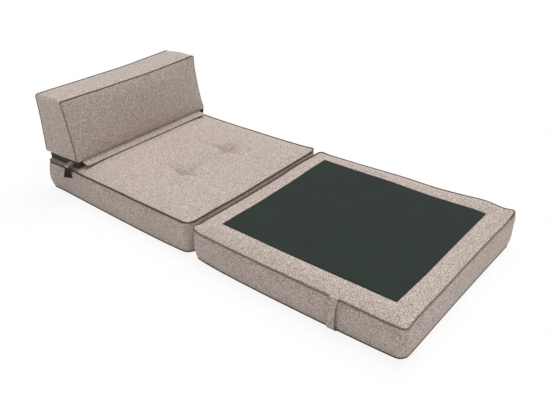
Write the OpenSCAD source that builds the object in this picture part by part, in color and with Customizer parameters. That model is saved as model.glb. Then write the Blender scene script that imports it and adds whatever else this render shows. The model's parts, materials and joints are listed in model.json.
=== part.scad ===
// Chair bed: two upholstered blocks joined by a fabric hinge, with a folding wedge backrest.
// It is shown opened out as a bed. X is the width, +Y points to the head end, Z is up.

/* [Blocks] */
// Width of the bed, over the seams
bed_w = 800; // [640:10:1000]
// Length of the seat block
seat_l = 900; // [760:10:1100]
// Length of the foot block
foot_l = 900; // [760:10:1100]
// Height of both blocks at their seams
block_h = 130; // [110:2:180]
// Gap between the two blocks at their top seams
joint_gap = 30; // [26:1:60]
// Radius of the seat block's corners, seen from above
seat_r = 34; // [24:1:60]
// Radius of the foot block's corners, seen from above
foot_r = 22; // [16:1:60]
// How far the stuffed sides swell out past the seams
side_bulge = 10; // [4:0.5:12]
// How far the seams draw in between the corners
side_draw = 5; // [0:0.5:8]
// Height of the seat's crown above its top seam
seat_crown = 20; // [12:1:26]
// Height of the foot block's crown above its top seam
foot_crown = 14; // [8:1:20]

/* [Tufts] */
// Distance between the two tufts
tuft_spacing = 266; // [180:2:360]
// Distance of the tufts from the seat's front seam
tuft_y = 300; // [240:5:400]
// Depth of a tuft below the crown
tuft_depth = 25; // [14:1:28]
// Size of the flat that a tuft's button pulls down
tuft_flat = 16; // [14:1:24]
// Width of the slope round a tuft
tuft_slope = 34; // [24:1:50]
// Depth of the creases that run out from the tufts
crease_depth = 8; // [0:1:12]
// Length over which a crease fades away
crease_run = 230; // [120:10:320]
// Diameter of a tuft button
button_d = 12; // [8:1:14]
// Thickness of a tuft button
button_t = 3; // [2:0.5:6]
// Diameter of the tie cord behind a button
tie_d = 3; // [2:0.5:5]

/* [Base panel] */
// Width of the fabric frame round the base panel
panel_margin = 80; // [60:2:140]
// Thickness of the base panel
panel_t = 1.6; // [1:0.1:4]
// Corner radius of the base panel
panel_r = 5; // [2:0.5:20]

/* [Backrest] */
// Distance of the backrest's ends from the sides of the bed
back_end_inset = 15; // [0:1:60]
// Height of the backrest, square to its foot
back_h = 268; // [200:2:340]
// Depth of the backrest at its foot
back_d = 230; // [190:1:270]
// Depth of the backrest at its top
back_top_d = 182; // [150:1:186]
// How far the backrest's rear leans forward over its height
back_rear_lean = 22; // [0:1:40]
// Angle at which the backrest leans back on the seat's crown
back_tilt = 3.3; // [0:0.1:5]
// How far the backrest's foot stands out past the seat's rear seam
back_overhang = 25; // [0:1:50]
// Corner radius of the backrest, seen from the front
back_r = 14; // [12:1:40]
// Crown of the backrest's front
back_crown = 14; // [6:1:18]
// Crown of the backrest's rear
back_rear_crown = 8; // [2:1:12]
// How far the backrest's ends and top swell out
back_bulge = 9; // [4:0.5:12]
// How far the backrest's seams draw in
back_draw = 5; // [0:0.5:8]
// Thickness of the base board under the backrest
base_t = 20; // [14:0.5:24]
// Distance of the base board from the backrest's outline
base_inset = 8; // [6:1:30]

/* [Flap] */
// Distance of the flap's ends from the sides of the bed
flap_inset = 40; // [20:1:120]
// Depth of the flap from front to rear
flap_d = 38; // [30:1:60]
// Thickness of the flattened flap
flap_t = 7; // [5:0.5:8]
// Thickness of one layer of the flap
flap_wall = 1.6; // [1:0.1:2]
// Angle at which the flap climbs to the backrest
flap_tilt = 8; // [4:0.5:9]

/* [Piping] */
// Diameter of the piping in every seam
piping_d = 6; // [5:0.5:8]
// How far the piping stands out of the seam
piping_proud = 2; // [1:0.25:2.5]

/* [Filling] */
// Least thickness of the quilted cover at the sides
cover_wall = 14; // [12:1:24]
// Thickness of the cover under a tuft's button
tuft_wall = 8; // [5:1:14]
// Thickness of the cover at the underside
bottom_wall = 9; // [8:1:16]
// Thickness of the wadding round the foam
wadding_t = 10; // [6:1:16]
// Corner radius of the foam cores
foam_r = 12; // [6:1:20]

/* [Straps] */
// Width of the fabric strap on the foot block's side
side_strap_w = 36; // [24:1:60]
// Thickness of the fabric strap
side_strap_t = 2.2; // [1.5:0.1:2.4]
// Distance of the fabric strap's middle from the foot end
side_strap_y = 258; // [120:2:500]
// Width of the fabric tabs at the backrest's ends
tab_w = 29; // [22:1:34]
// Thickness of the fabric tabs
tab_t = 1.5; // [1:0.1:2]
// Distance of the tabs' middle behind the backrest's front foot seam
tab_y = 47; // [34:1:80]
// Width of the webbing at its top
web_w = 46; // [44:1:70]
// Width of the webbing at its waist
web_waist = 34; // [28:1:42]
// Width of the webbing at its end
web_end = 44; // [36:1:70]
// Length of the webbing that hangs down
web_l = 54; // [40:1:80]
// Thickness of the webbing
web_t = 2.5; // [2:0.1:4]
// Diameter of the rolled webbing in its tab
web_roll_d = 6; // [5:0.5:8]

/* [Zips] */
// Distance of the blocks' zips from the sides of the bed
zip_inset = 110; // [80:5:200]
// Distance of the backrest's zip from its ends
back_zip_inset = 135; // [100:5:240]
// Width of a zip's tapes
zip_w = 24; // [20:1:30]
// Thickness of a zip's tapes
zip_t = 1; // [0.6:0.1:1.4]
// Width of a zip's coil
coil_w = 5; // [4:0.5:7]
// How far a zip's coil stands out of the tapes
coil_t = 1.4; // [1:0.1:1.8]
// Length of a zip slider
slider_l = 11; // [9:0.5:14]
// Length of a slider's pull
pull_l = 24; // [18:1:32]
// Width of a slider's pull
pull_w = 6; // [5:0.5:9]
// Height of the backrest's zip above the backrest's foot
back_zip_z = 48; // [40:1:80]

/* [Hinge strip] */
// Thickness of the fabric hinge between the blocks
strip_t = 1.2; // [0.8:0.1:2.4]
// Distance of the fabric hinge's ends from the sides of the bed
strip_inset = 60; // [40:5:120]

/* [Hidden] */
$fn = 48;

// Clearance between a soft piece and its neighbour
fit = 0.3;
// Overrun of the cuts
over = 1;
// Sides of the piping's section
piping_sides = 6;
// Crown exponents: the higher, the flatter the middle
seat_crown_power = 7;
foot_edge_power = 2.4;
back_crown_power = 4;
// Heights of the side's swell as shares of the boxing, and the swell there
swell_at_share = [0.75, 0.5, 0.25];
swell_share = [0.72, 1, 0.72];
// Steps in each half of a rounded corner
corner_steps = 2;

piping_r = piping_d / 2;
// Depth of the rebate that holds the piping, inward and downward from the seam
rebate = piping_d - piping_proud + fit;
// Height of the rebate above a flat underside, where the piping stays clear of the floor
foot_rebate = piping_d + 2 * fit;

bed_hw = bed_w / 2;
seat_hl = seat_l / 2;
foot_hl = foot_l / 2;
seat_y = joint_gap / 2 + seat_hl;
foot_y = -joint_gap / 2 - foot_hl;
seat_rear_y = joint_gap / 2 + seat_l;
seat_top_z = block_h + seat_crown;
foot_top_z = block_h + foot_crown;

tuft_x = tuft_spacing / 2;
tuft_local_y = tuft_y - seat_hl;
tuft_floor_z = seat_top_z - tuft_depth;
tuft_reach = tuft_flat / 2 + tuft_slope;

back_w = bed_w - 2 * back_end_inset;
back_hw = back_w / 2;
back_rear_y = seat_rear_y + back_overhang;
back_front_lean = back_d - back_top_d - back_rear_lean;
flap_w = bed_w - 2 * flap_inset;
zip_l = bed_w - 2 * zip_inset;
back_zip_l = back_w - 2 * back_zip_inset;

// Positions from the first value of breaks to its last, with counts[k] steps in each stretch
function stops(breaks, counts) = concat(
    [for (k = [0 : len(counts) - 1])
        for (i = [0 : counts[k] - 1])
            breaks[k] + (breaks[k + 1] - breaks[k]) * i / counts[k]],
    [breaks[len(counts)]]);

// A point of a rectangle, moved so that the rectangle's corners become arcs of radius r
function round_out(x, y, hw, hl, r) =
    let (s = max(0, (abs(x) - hw + r) / r), t = max(0, (abs(y) - hl + r) / r))
    [sign(x) * (min(abs(x), hw - r) + r * s * sqrt(1 - t * t / 2)),
     sign(y) * (min(abs(y), hl - r) + r * t * sqrt(1 - s * s / 2))];

// The same point, drawn in between the corners; draw holds the draw of the X, -Y and +Y sides
function draw_in(p, hw, hl, draw) =
    let (u = p[0] / hw, v = p[1] / hl, dy = v < 0 ? draw[1] : draw[2])
    [p[0] * (1 - draw[0] / hw * max(0, 1 - v * v)), p[1] * (1 - dy / hl * max(0, 1 - u * u))];

// Index of a rim point of a grid of nu by nv cells, counted counter-clockwise from its first corner
function rim_index(i, j, nu, nv) =
    j == 0 ? i : i == nu ? nu + j : j == nv ? 2 * nu + nv - i : 2 * (nu + nv) - j;

// The rim of a cushion as a closed loop of points
function rim(xs, ys, hw, hl, r, draw) =
    let (nu = len(xs) - 1, nv = len(ys) - 1)
    [for (q = concat(
        [for (i = [0 : nu - 1]) [xs[i], ys[0]]],
        [for (j = [0 : nv - 1]) [xs[nu], ys[j]]],
        [for (i = [nu : -1 : 1]) [xs[i], ys[nv]]],
        [for (j = [nv : -1 : 1]) [xs[0], ys[j]]]))
        draw_in(round_out(q[0], q[1], hw, hl, r), hw, hl, draw)];

// Outward normals of a closed loop
function loop_normals(loop) =
    let (n = len(loop))
    [for (i = [0 : n - 1])
        let (d = loop[(i + 1) % n] - loop[(i + n - 1) % n], l = norm(d))
        [d[1] / l, -d[0] / l]];

// A cushion's data: grid lines, half sizes, corner radius, draw, height, swell and its flat side
function cushion(xs, ys, hw, hl, r, draw, h, swell, flat_side) =
    let (loop = rim(xs, ys, hw, hl, r, draw), normals = loop_normals(loop))
    [xs, ys, hw, hl, r, draw, h, swell, loop, normals,
     [for (n = normals) flat_side ? 1 - max(0, -n[1]) : 1]];

// One ring of a cushion: its rim moved outward by out at height z
function ring(c, out, z) =
    [for (i = [0 : len(c[8]) - 1])
        let (p = c[8][i] + c[9][i] * (out > 0 ? out * c[10][i] : out))
        [p[0], p[1], z]];

// Inner grid points at heights given by a function of the place
function field(c, height) =
    [for (j = [1 : len(c[1]) - 2])
        for (i = [1 : len(c[0]) - 2])
            let (x = c[0][i], y = c[1][j], p = draw_in(round_out(x, y, c[2], c[3], c[4]), c[2], c[3], c[5]))
            [p[0], p[1], height(x, y)]];

// The rings of a cushion's sides, from the top panel's edge down to the bottom panel's edge
function side_rings(c, low_rebate) =
    let (h = c[6], top = h - rebate, span = top - low_rebate)
    concat(
        ring(c, -rebate, h),
        ring(c, -rebate, top),
        ring(c, 0, top),
        [for (k = [0 : len(swell_share) - 1])
            each ring(c, c[7] * swell_share[k], low_rebate + span * swell_at_share[k])],
        ring(c, 0, low_rebate),
        ring(c, -rebate, low_rebate),
        ring(c, -rebate, 0));

side_ring_count = 6 + len(swell_share);

// Index of a grid point: on the rim it belongs to the given ring, inside to the field that starts at base
function grid_index(i, j, nu, nv, ring_start, base) =
    (i == 0 || j == 0 || i == nu || j == nv)
        ? ring_start + rim_index(i, j, nu, nv)
        : base + (j - 1) * (nu - 1) + i - 1;

function grid_faces(nu, nv, ring_start, base, upward) =
    [for (j = [0 : nv - 1])
        for (i = [0 : nu - 1])
            let (a = grid_index(i, j, nu, nv, ring_start, base),
                 b = grid_index(i, j + 1, nu, nv, ring_start, base),
                 c = grid_index(i + 1, j + 1, nu, nv, ring_start, base),
                 d = grid_index(i + 1, j, nu, nv, ring_start, base))
            each upward ? [[a, b, c], [a, c, d]] : [[a, c, b], [a, d, c]]];

function side_faces(n) =
    [for (k = [0 : side_ring_count - 2])
        for (i = [0 : n - 1])
            let (a = k * n + i, b = k * n + (i + 1) % n)
            each [[a, b, b + n], [a, b + n, a + n]]];

// A cushion with a shaped top and a flat underside
function block_points(c, top) = concat(side_rings(c, foot_rebate), field(c, top));
function block_faces(c) =
    let (nu = len(c[0]) - 1, nv = len(c[1]) - 1, n = 2 * (nu + nv), last = (side_ring_count - 1) * n)
    concat(
        side_faces(n),
        grid_faces(nu, nv, 0, side_ring_count * n, true),
        [[for (i = [0 : n - 1]) last + i]]);

// A cushion with two shaped panels
function pad_points(c, top, bottom) = concat(side_rings(c, rebate), field(c, top), field(c, bottom));
function pad_faces(c) =
    let (nu = len(c[0]) - 1, nv = len(c[1]) - 1, n = 2 * (nu + nv), inner = (nu - 1) * (nv - 1))
    concat(
        side_faces(n),
        grid_faces(nu, nv, 0, side_ring_count * n, true),
        grid_faces(nu, nv, (side_ring_count - 1) * n, side_ring_count * n + inner, false));

// A closed tube of piping along a cushion's rim, with its middle at height z
function piping_points(c, z) =
    [for (i = [0 : len(c[8]) - 1])
        for (k = [0 : piping_sides - 1])
            let (a = 360 / piping_sides * (k + 1 / 2),
                 p = c[8][i] + c[9][i] * (piping_proud - piping_r + piping_r * cos(a)))
            [p[0], p[1], z + piping_r * sin(a)]];
function piping_faces(n) =
    [for (i = [0 : n - 1])
        for (k = [0 : piping_sides - 1])
            let (next = (i + 1) % n, up = (k + 1) % piping_sides,
                 a = i * piping_sides + k, b = i * piping_sides + up,
                 c = next * piping_sides + up, d = next * piping_sides + k)
            each [[a, b, c], [a, c, d]]];

// Bell curve, 1 at the middle and near 0 past two widths
function bell(d, w) = exp(-d * d / (w * w));
function crown(t, power) = 1 - pow(min(1, abs(t)), power);

// Distance outside the flat square of a tuft
function outside(d) = max(0, abs(d) - tuft_flat / 2);
// Depth of the tuft at tuft_x, with the creases that run out of it
function tuft_fall(x, y) =
    let (dx = outside(x), dy = outside(y), d = norm([dx, dy]))
    max(tuft_depth * bell(d, tuft_slope),
        crease_depth * bell(dy, tuft_slope / 2) * bell(dx, crease_run),
        crease_depth * bell(dx, tuft_slope / 2) * bell(dy, crease_run));

function seat_height(x, y) =
    block_h
    + seat_crown * crown(x / bed_hw, seat_crown_power) * crown(y / seat_hl, seat_crown_power)
    - max(tuft_fall(x - tuft_x, y - tuft_local_y), tuft_fall(x + tuft_x, y - tuft_local_y))
        * crown(x / bed_hw, seat_crown_power) * crown(y / seat_hl, seat_crown_power);

// The foot block's crown rises over the fabric frame and is flat under the base panel
function foot_rise(d) =
    d >= panel_margin - foot_r / 2 ? 1 : 1 - pow(1 - max(0, d) / (panel_margin - foot_r / 2), foot_edge_power);
function foot_height(x, y) =
    block_h + foot_crown * foot_rise(bed_hw - abs(x)) * foot_rise(foot_hl - abs(y));

seat_xs = stops(
    [-bed_hw, -bed_hw + seat_r, -tuft_x - tuft_reach, -tuft_x - tuft_flat / 2, -tuft_x + tuft_flat / 2,
     -tuft_x + tuft_reach, tuft_x - tuft_reach, tuft_x - tuft_flat / 2, tuft_x + tuft_flat / 2,
     tuft_x + tuft_reach, bed_hw - seat_r, bed_hw],
    [corner_steps, 2, 2, 1, 2, 2, 2, 1, 2, 2, corner_steps]);
seat_ys = stops(
    [-seat_hl, -seat_hl + seat_r, tuft_local_y - tuft_reach, tuft_local_y - tuft_flat / 2,
     tuft_local_y + tuft_flat / 2, tuft_local_y + tuft_reach, seat_hl - seat_r, seat_hl],
    [corner_steps, 3, 2, 1, 2, 5, corner_steps]);
foot_xs = stops(
    [-bed_hw, -bed_hw + foot_r, -bed_hw + panel_margin, bed_hw - panel_margin, bed_hw - foot_r, bed_hw],
    [corner_steps, 2, 6, 2, corner_steps]);
foot_ys = stops(
    [-foot_hl, -foot_hl + foot_r, -foot_hl + panel_margin, foot_hl - panel_margin, foot_hl - foot_r, foot_hl],
    [corner_steps, 2, 6, 2, corner_steps]);
back_xs = stops([-back_hw, -back_hw + back_r, back_hw - back_r, back_hw], [corner_steps, 10, corner_steps]);
back_ys = stops([-back_h / 2, back_r - back_h / 2, back_h / 2 - back_r, back_h / 2],
    [corner_steps, 4, corner_steps]);

seat_form = cushion(seat_xs, seat_ys, bed_hw, seat_hl, seat_r, [side_draw, 0, 0], block_h, side_bulge, false);
foot_form = cushion(foot_xs, foot_ys, bed_hw, foot_hl, foot_r, [side_draw, side_draw, 0], block_h,
    side_bulge, false);
// Height of the seat's crown at a place along Y
function seat_z_at(y) =
    lookup(y - seat_y, [for (line = seat_ys) [line, max([for (x = seat_xs) seat_height(x, line)])]]);

// The base board rests on the seat's crown at the backrest's tilt; base_z is its height at its rear
base_w = back_w - 2 * base_inset;
base_l = back_d - 2 * base_inset;
base_front_y = back_rear_y - (back_d - base_inset) * cos(back_tilt);
base_z = fit + max([for (y = concat([base_front_y], [for (line = seat_ys) seat_y + line]))
    if (y >= base_front_y) seat_z_at(y) - (back_rear_y - y) * tan(back_tilt)]);
// Height of the backrest's foot above the underside of the board
back_foot = base_t + fit;

// A point of the backrest as it leans back, from a point measured from its rear foot along its own axes
function lean(p) =
    [p[0], back_rear_y + p[1] * cos(back_tilt) + p[2] * sin(back_tilt),
     base_z - p[1] * sin(back_tilt) + p[2] * cos(back_tilt)];
back_front_y = lean([0, -back_d, back_foot])[1];
back_front_z = lean([0, -back_d, back_foot])[2];

back_form = cushion(back_xs, back_ys, back_hw, back_h / 2, back_r, [back_draw, 0, back_draw], back_d,
    back_bulge, true);

// The backrest's pad is drawn lying down; this stands it up and tapers it towards the top
function stand_up(p) =
    let (z = p[1] + back_h / 2)
    [p[0],
     -back_rear_lean * z / back_h - p[2] * (1 - (back_d - back_top_d) * z / back_h / back_d),
     back_foot + z];

function back_front_height(x, y) =
    back_d + back_crown * crown(x / back_hw, back_crown_power) * crown(y * 2 / back_h, back_crown_power);
function back_rear_height(x, y) =
    -back_rear_crown * crown(x / back_hw, back_crown_power) * crown(y * 2 / back_h, back_crown_power);

seat_points = [for (p = block_points(seat_form, function (x, y) seat_height(x, y))) p + [0, seat_y, 0]];
foot_points = [for (p = block_points(foot_form, function (x, y) foot_height(x, y))) p + [0, foot_y, 0]];
back_points = [for (p = pad_points(back_form, function (x, y) back_front_height(x, y),
    function (x, y) back_rear_height(x, y))) stand_up(p)];

slider_w = coil_w + 2 * fit + 2 * zip_t;
slider_front = zip_t + coil_t + fit + zip_t;
// The backrest's zip lies on the rear crown, which stands out most at the zip's upper edge
back_rear_angle = atan(back_rear_lean / back_h);
back_zip_out = fit
    - lookup(back_zip_z + zip_w / 2 - back_h / 2, [for (line = back_ys) [line, back_rear_height(0, line)]]);
back_pull_out = back_zip_out + slider_front + zip_t;
back_pull_z = back_zip_z - pull_l;

// Middle of the whole bed along Y, which becomes the origin
mid_y = (min([for (p = foot_points) p[1]])
    + max(concat(
        [for (p = back_points) lean(p)[1]],
        [lean([0, back_pull_out * cos(back_rear_angle) - back_pull_z * sin(back_rear_angle),
            back_foot + back_pull_out * sin(back_rear_angle) + back_pull_z * cos(back_rear_angle)])[1]]))) / 2;

// Where the drawn-in side of a block lies at a distance from the block's middle
function side_x(y, hl) = bed_hw - side_draw * (1 - pow(y / hl, 2));

module place() {
    translate([0, -mid_y, 0]) children();
}

// Leans the backrest back on the seat's crown, from its own axes at its rear foot
module lean_back() {
    translate([0, back_rear_y, base_z])
        rotate([-back_tilt, 0, 0]) children();
}

// Rounded slab in the XY plane, from z upward
module slab(w, l, r, z, h) {
    translate([0, 0, z])
        linear_extrude(h)
            union() {
                square([w - 2 * r, l], center = true);
                square([w, l - 2 * r], center = true);
                for (sx = [-1, 1])
                    for (sy = [-1, 1])
                        translate([sx * (w / 2 - r), sy * (l / 2 - r)]) circle(r);
            }
}

// Extrudes a shape drawn in the YZ plane along X, centred
module across(w) {
    translate([-w / 2, 0, 0])
        rotate([90, 0, 90]) linear_extrude(w) children();
}

// Extrudes a shape drawn in the XZ plane along Y, centred
module along(l) {
    translate([0, l / 2, 0])
        rotate([90, 0, 0]) linear_extrude(l) children();
}

// Space inside a block's cover
block_core_top = tuft_floor_z - tuft_wall;
core_w = bed_w - 2 * side_draw - 2 * cover_wall;
seat_core_l = seat_l - 2 * cover_wall;
foot_core_l = foot_l - 2 * cover_wall - side_draw;
foot_core_y = foot_y + side_draw / 2;
foot_core_top = block_h - bottom_wall;

module block_cavity(l, y, top) {
    translate([0, y, 0]) slab(core_w, l, foam_r, bottom_wall, top - bottom_wall);
}

// Wadding: a sleeve round the foam, open at both ends
module block_wadding(l, y, top) {
    translate([0, y, 0])
        difference() {
            slab(core_w - 2 * fit, l - 2 * fit, foam_r, bottom_wall + fit, top - bottom_wall - 2 * fit);
            translate([0, 0, bottom_wall + fit + wadding_t])
                linear_extrude(top - bottom_wall - 2 * fit - 2 * wadding_t)
                    square([core_w - 2 * fit - 2 * wadding_t, l + over], center = true);
        }
}

module block_foam(l, y, top) {
    gap = fit + wadding_t + fit;
    translate([0, y, 0])
        slab(core_w - 2 * gap, l - 2 * fit, foam_r, bottom_wall + gap, top - bottom_wall - 2 * gap);
}

module at_tufts() {
    for (sx = [-1, 1])
        translate([sx * tuft_x, seat_y + tuft_local_y, 0]) children();
}

module tie_bores() {
    at_tufts() translate([0, 0, -over]) cylinder(d = tie_d + 2 * fit, h = block_h + 2 * over);
}

// Seat block

module seat_cover() {
    color("tan") place()
        difference() {
            polyhedron(seat_points, block_faces(seat_form));
            block_cavity(seat_core_l, seat_y, block_core_top);
        }
}

module seat_wadding() {
    color("white") place()
        difference() {
            block_wadding(seat_core_l, seat_y, block_core_top);
            tie_bores();
        }
}

module seat_foam() {
    color("lightyellow") place()
        difference() {
            block_foam(seat_core_l, seat_y, block_core_top);
            tie_bores();
        }
}

module block_piping(form, y, z) {
    translate([0, y, 0]) polyhedron(piping_points(form, z), piping_faces(len(form[8])));
}

piping_top_z = block_h + piping_proud - piping_r;
piping_bottom_z = piping_r + fit;

module seat_piping_top() {
    color("dimgray") place() block_piping(seat_form, seat_y, piping_top_z);
}

module seat_piping_bottom() {
    color("dimgray") place() block_piping(seat_form, seat_y, piping_bottom_z);
}

// Button: a low dome on a short rim
module tuft_buttons() {
    color("tan") place()
        at_tufts()
            translate([0, 0, tuft_floor_z + fit])
                rotate_extrude()
                    intersection() {
                        translate([0, button_t - button_d]) circle(button_d);
                        square([button_d / 2, button_t]);
                    }
}

module tuft_ties() {
    color("ivory") place()
        at_tufts()
            translate([0, 0, bottom_wall + fit])
                cylinder(d = tie_d, h = block_core_top - bottom_wall - 2 * fit);
}

// Fabric hinge: one leaf on each block, from the bottom piping to the middle of the gap
strip_w = joint_gap / 2 - piping_proud - fit - fit / 2;

module hinge_leaf() {
    translate([-bed_hw + strip_inset, fit / 2, 0]) cube([bed_w - 2 * strip_inset, strip_w, strip_t]);
}

module hinge_strip_seat() {
    color("tan") place() hinge_leaf();
}

module hinge_strip_foot() {
    color("tan") place() mirror([0, 1, 0]) hinge_leaf();
}

// Zips, drawn with the tapes in the XZ plane and the coil facing +Y

module zip(l) {
    translate([-l / 2, 0, -zip_w / 2]) cube([l, zip_t, zip_w]);
    translate([-l / 2, 0, -coil_w / 2]) cube([l, zip_t + coil_t, coil_w]);
    for (sx = [-1, 1])
        translate([sx * (l / 2 - zip_w / 4), 0, 0])
            translate([-zip_t, 0, -coil_w])
                cube([2 * zip_t, zip_t + coil_t + zip_t, 2 * coil_w]);
}

// Slider: a channel over the coil with a hanging pull on its front
module slider() {
    difference() {
        translate([-slider_l / 2, zip_t + fit, -slider_w / 2])
            cube([slider_l, slider_front - zip_t - fit, slider_w]);
        translate([-slider_l / 2 - over, 0, -coil_w / 2 - fit])
            cube([slider_l + 2 * over, zip_t + coil_t + fit, coil_w + 2 * fit]);
    }
    translate([0, slider_front + zip_t / 2, 0])
        difference() {
            along(zip_t)
                union() {
                    circle(pull_w / 2);
                    translate([-pull_w / 2, -pull_l + pull_w / 2]) square([pull_w, pull_l - pull_w / 2]);
                    translate([0, pull_w / 2 - pull_l]) circle(pull_w / 2);
                }
            translate([0, over, pull_w / 2 - pull_l])
                rotate([90, 0, 0]) cylinder(d = pull_w / 2, h = zip_t + 2 * over);
        }
}

// The slider starts at one end of the coil and runs to the other
function slider_start(l) = -l / 2 + zip_w / 4 + zip_t + fit + slider_l / 2;

// Mid height of the boxing, where the swell is greatest
zip_z = foot_rebate + (block_h - rebate - foot_rebate) / 2;

module at_seat_zip() {
    translate([0, seat_rear_y + side_bulge + fit, zip_z]) children();
}

module at_foot_zip() {
    translate([0, foot_y + foot_hl + side_bulge + fit, zip_z]) children();
}

module at_back_zip() {
    lean_back()
        translate([0, 0, back_foot])
            rotate([back_rear_angle, 0, 0])
                translate([0, back_zip_out, back_zip_z]) children();
}

module seat_zip() {
    color("dimgray") place() at_seat_zip() zip(zip_l);
}

module seat_zip_slider() {
    color("silver") place() at_seat_zip() translate([slider_start(zip_l), 0, 0]) slider();
}

module foot_zip() {
    color("dimgray") place() at_foot_zip() zip(zip_l);
}

module foot_zip_slider() {
    color("silver") place() at_foot_zip() translate([slider_start(zip_l), 0, 0]) slider();
}

module backrest_zip() {
    color("dimgray") place() at_back_zip() zip(back_zip_l);
}

module backrest_zip_slider() {
    color("silver") place() at_back_zip() translate([slider_start(back_zip_l), 0, 0]) slider();
}

// Flap: a flattened tube of two layers with open ends, resting on the seat and climbing to the base board

// Outline of the tube, t thick, with its front at zero
module flap_outline(t) {
    translate([flap_t / 2, 0]) circle(t / 2);
    translate([flap_d - flap_t / 2, 0]) circle(t / 2);
    translate([flap_t / 2, -t / 2]) square([flap_d - flap_t, t]);
}

flap_rear_y = base_front_y - 3 * fit;
flap_y = flap_rear_y - (flap_d - flap_t) * cos(flap_tilt) - flap_t / 2;

module backrest_flap() {
    color("wheat") place()
        translate([0, flap_y, seat_z_at(flap_y) + fit + flap_t / 2])
            across(flap_w)
                rotate(flap_tilt)
                    translate([-flap_t / 2, 0])
                        difference() {
                            flap_outline(flap_t);
                            flap_outline(flap_t - 2 * flap_wall);
                        }
}

// Foot block

module foot_cover() {
    color("tan") place()
        difference() {
            polyhedron(foot_points, block_faces(foot_form));
            block_cavity(foot_core_l, foot_core_y, foot_core_top);
        }
}

module foot_wadding() {
    color("white") place() block_wadding(foot_core_l, foot_core_y, foot_core_top);
}

module foot_foam() {
    color("lightyellow") place() block_foam(foot_core_l, foot_core_y, foot_core_top);
}

module foot_base_panel() {
    color("darkslategray") place()
        translate([0, foot_y, 0])
            slab(bed_w - 2 * panel_margin, foot_l - 2 * panel_margin, panel_r, foot_top_z + fit, panel_t);
}

module foot_piping_top() {
    color("dimgray") place() block_piping(foot_form, foot_y, piping_top_z);
}

module foot_piping_bottom() {
    color("dimgray") place() block_piping(foot_form, foot_y, piping_bottom_z);
}

// Fabric strap over the boxing, from the top seam to the bottom seam
strap_local_y = side_strap_y - foot_hl;
strap_x = side_x(max(abs(strap_local_y - side_strap_w / 2), abs(strap_local_y + side_strap_w / 2)), foot_hl)
    + fit;
boxing_low = foot_rebate;
boxing_span = block_h - rebate - foot_rebate;
strap_line = concat(
    [[0, boxing_low + boxing_span]],
    [for (k = [0 : len(swell_share) - 1])
        [side_bulge * swell_share[k], boxing_low + boxing_span * swell_at_share[k]]],
    [[0, boxing_low]]);

module foot_strap() {
    color("tan") place()
        translate([0, foot_y + strap_local_y, 0])
            along(side_strap_w)
                polygon(concat(
                    [for (p = strap_line) [-strap_x - p[0], p[1]]],
                    [for (i = [len(strap_line) - 1 : -1 : 0])
                        [-strap_x - strap_line[i][0] - side_strap_t, strap_line[i][1]]]));
}

// Backrest

// Outline of the backrest's section in the YZ plane, drawn in by inset
module back_section(inset) {
    rear_slope = back_rear_lean / back_h;
    front_slope = back_front_lean / back_h;
    rear = inset * sqrt(1 + rear_slope * rear_slope);
    front = inset * sqrt(1 + front_slope * front_slope);
    high = back_h - inset;
    translate([0, back_foot])
        polygon([
            [front_slope * inset + front - back_d, inset],
            [-rear_slope * inset - rear, inset],
            [-rear_slope * high - rear, high],
            [front_slope * high + front - back_d, high]]);
}

back_core_w = back_w - 2 * back_draw - 2 * cover_wall;

module backrest_cover() {
    color("tan") place() lean_back()
        difference() {
            polyhedron(back_points, pad_faces(back_form));
            across(back_core_w) back_section(cover_wall);
        }
}

module backrest_wadding() {
    color("white") place() lean_back()
        difference() {
            across(back_core_w - 2 * fit) back_section(cover_wall + fit);
            across(back_core_w + over) back_section(cover_wall + fit + wadding_t);
        }
}

module backrest_foam() {
    color("lightyellow") place() lean_back()
        across(back_core_w - 2 * fit) back_section(cover_wall + wadding_t + 2 * fit);
}

// Base board under the backrest, in a dark sleeve
module backrest_base() {
    color("#3a2e27") place() lean_back()
        translate([0, -back_d / 2, 0]) slab(base_w, base_l, foam_r, 0, base_t);
}

module back_piping(z) {
    lean_back()
        polyhedron([for (p = piping_points(back_form, z)) stand_up(p)], piping_faces(len(back_form[8])));
}

module backrest_piping_front() {
    color("dimgray") place() back_piping(back_d + piping_proud - piping_r);
}

module backrest_piping_rear() {
    color("dimgray") place() back_piping(piping_r - piping_proud);
}

// Tabs and webbing, drawn for the left end and mirrored for the right

web_y = back_front_y + tab_y;
tab_in_r = web_roll_d / 2 + fit;
tab_out_r = tab_in_r + tab_t;
web_x = side_x(web_y - seat_y, seat_hl) + side_bulge + fit + web_t / 2;
// The webbing's roll is level with the underside of the board
web_z = base_z + (back_rear_y - web_y) * tan(back_tilt);
web_bottom_z = web_z - web_l;
web_shoulder_z = web_z - tab_out_r - fit;
// The tab climbs from the top of its loop to the middle of the board's end
tab_run = web_x - base_w / 2 - fit;
tab_climb = atan((base_t / 2 - tab_in_r) / tab_run);

// Tab: a loop round the rolled webbing, with a tail to the base board
module tab() {
    translate([-web_x, web_y, web_z])
        along(tab_w)
            difference() {
                union() {
                    circle(tab_out_r);
                    rotate(tab_climb)
                        translate([0, tab_in_r]) square([web_x - base_w / 2 + tab_out_r, tab_t]);
                }
                circle(tab_in_r);
                translate([tab_run, -tab_out_r]) square(base_t + tab_out_r);
            }
}

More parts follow.
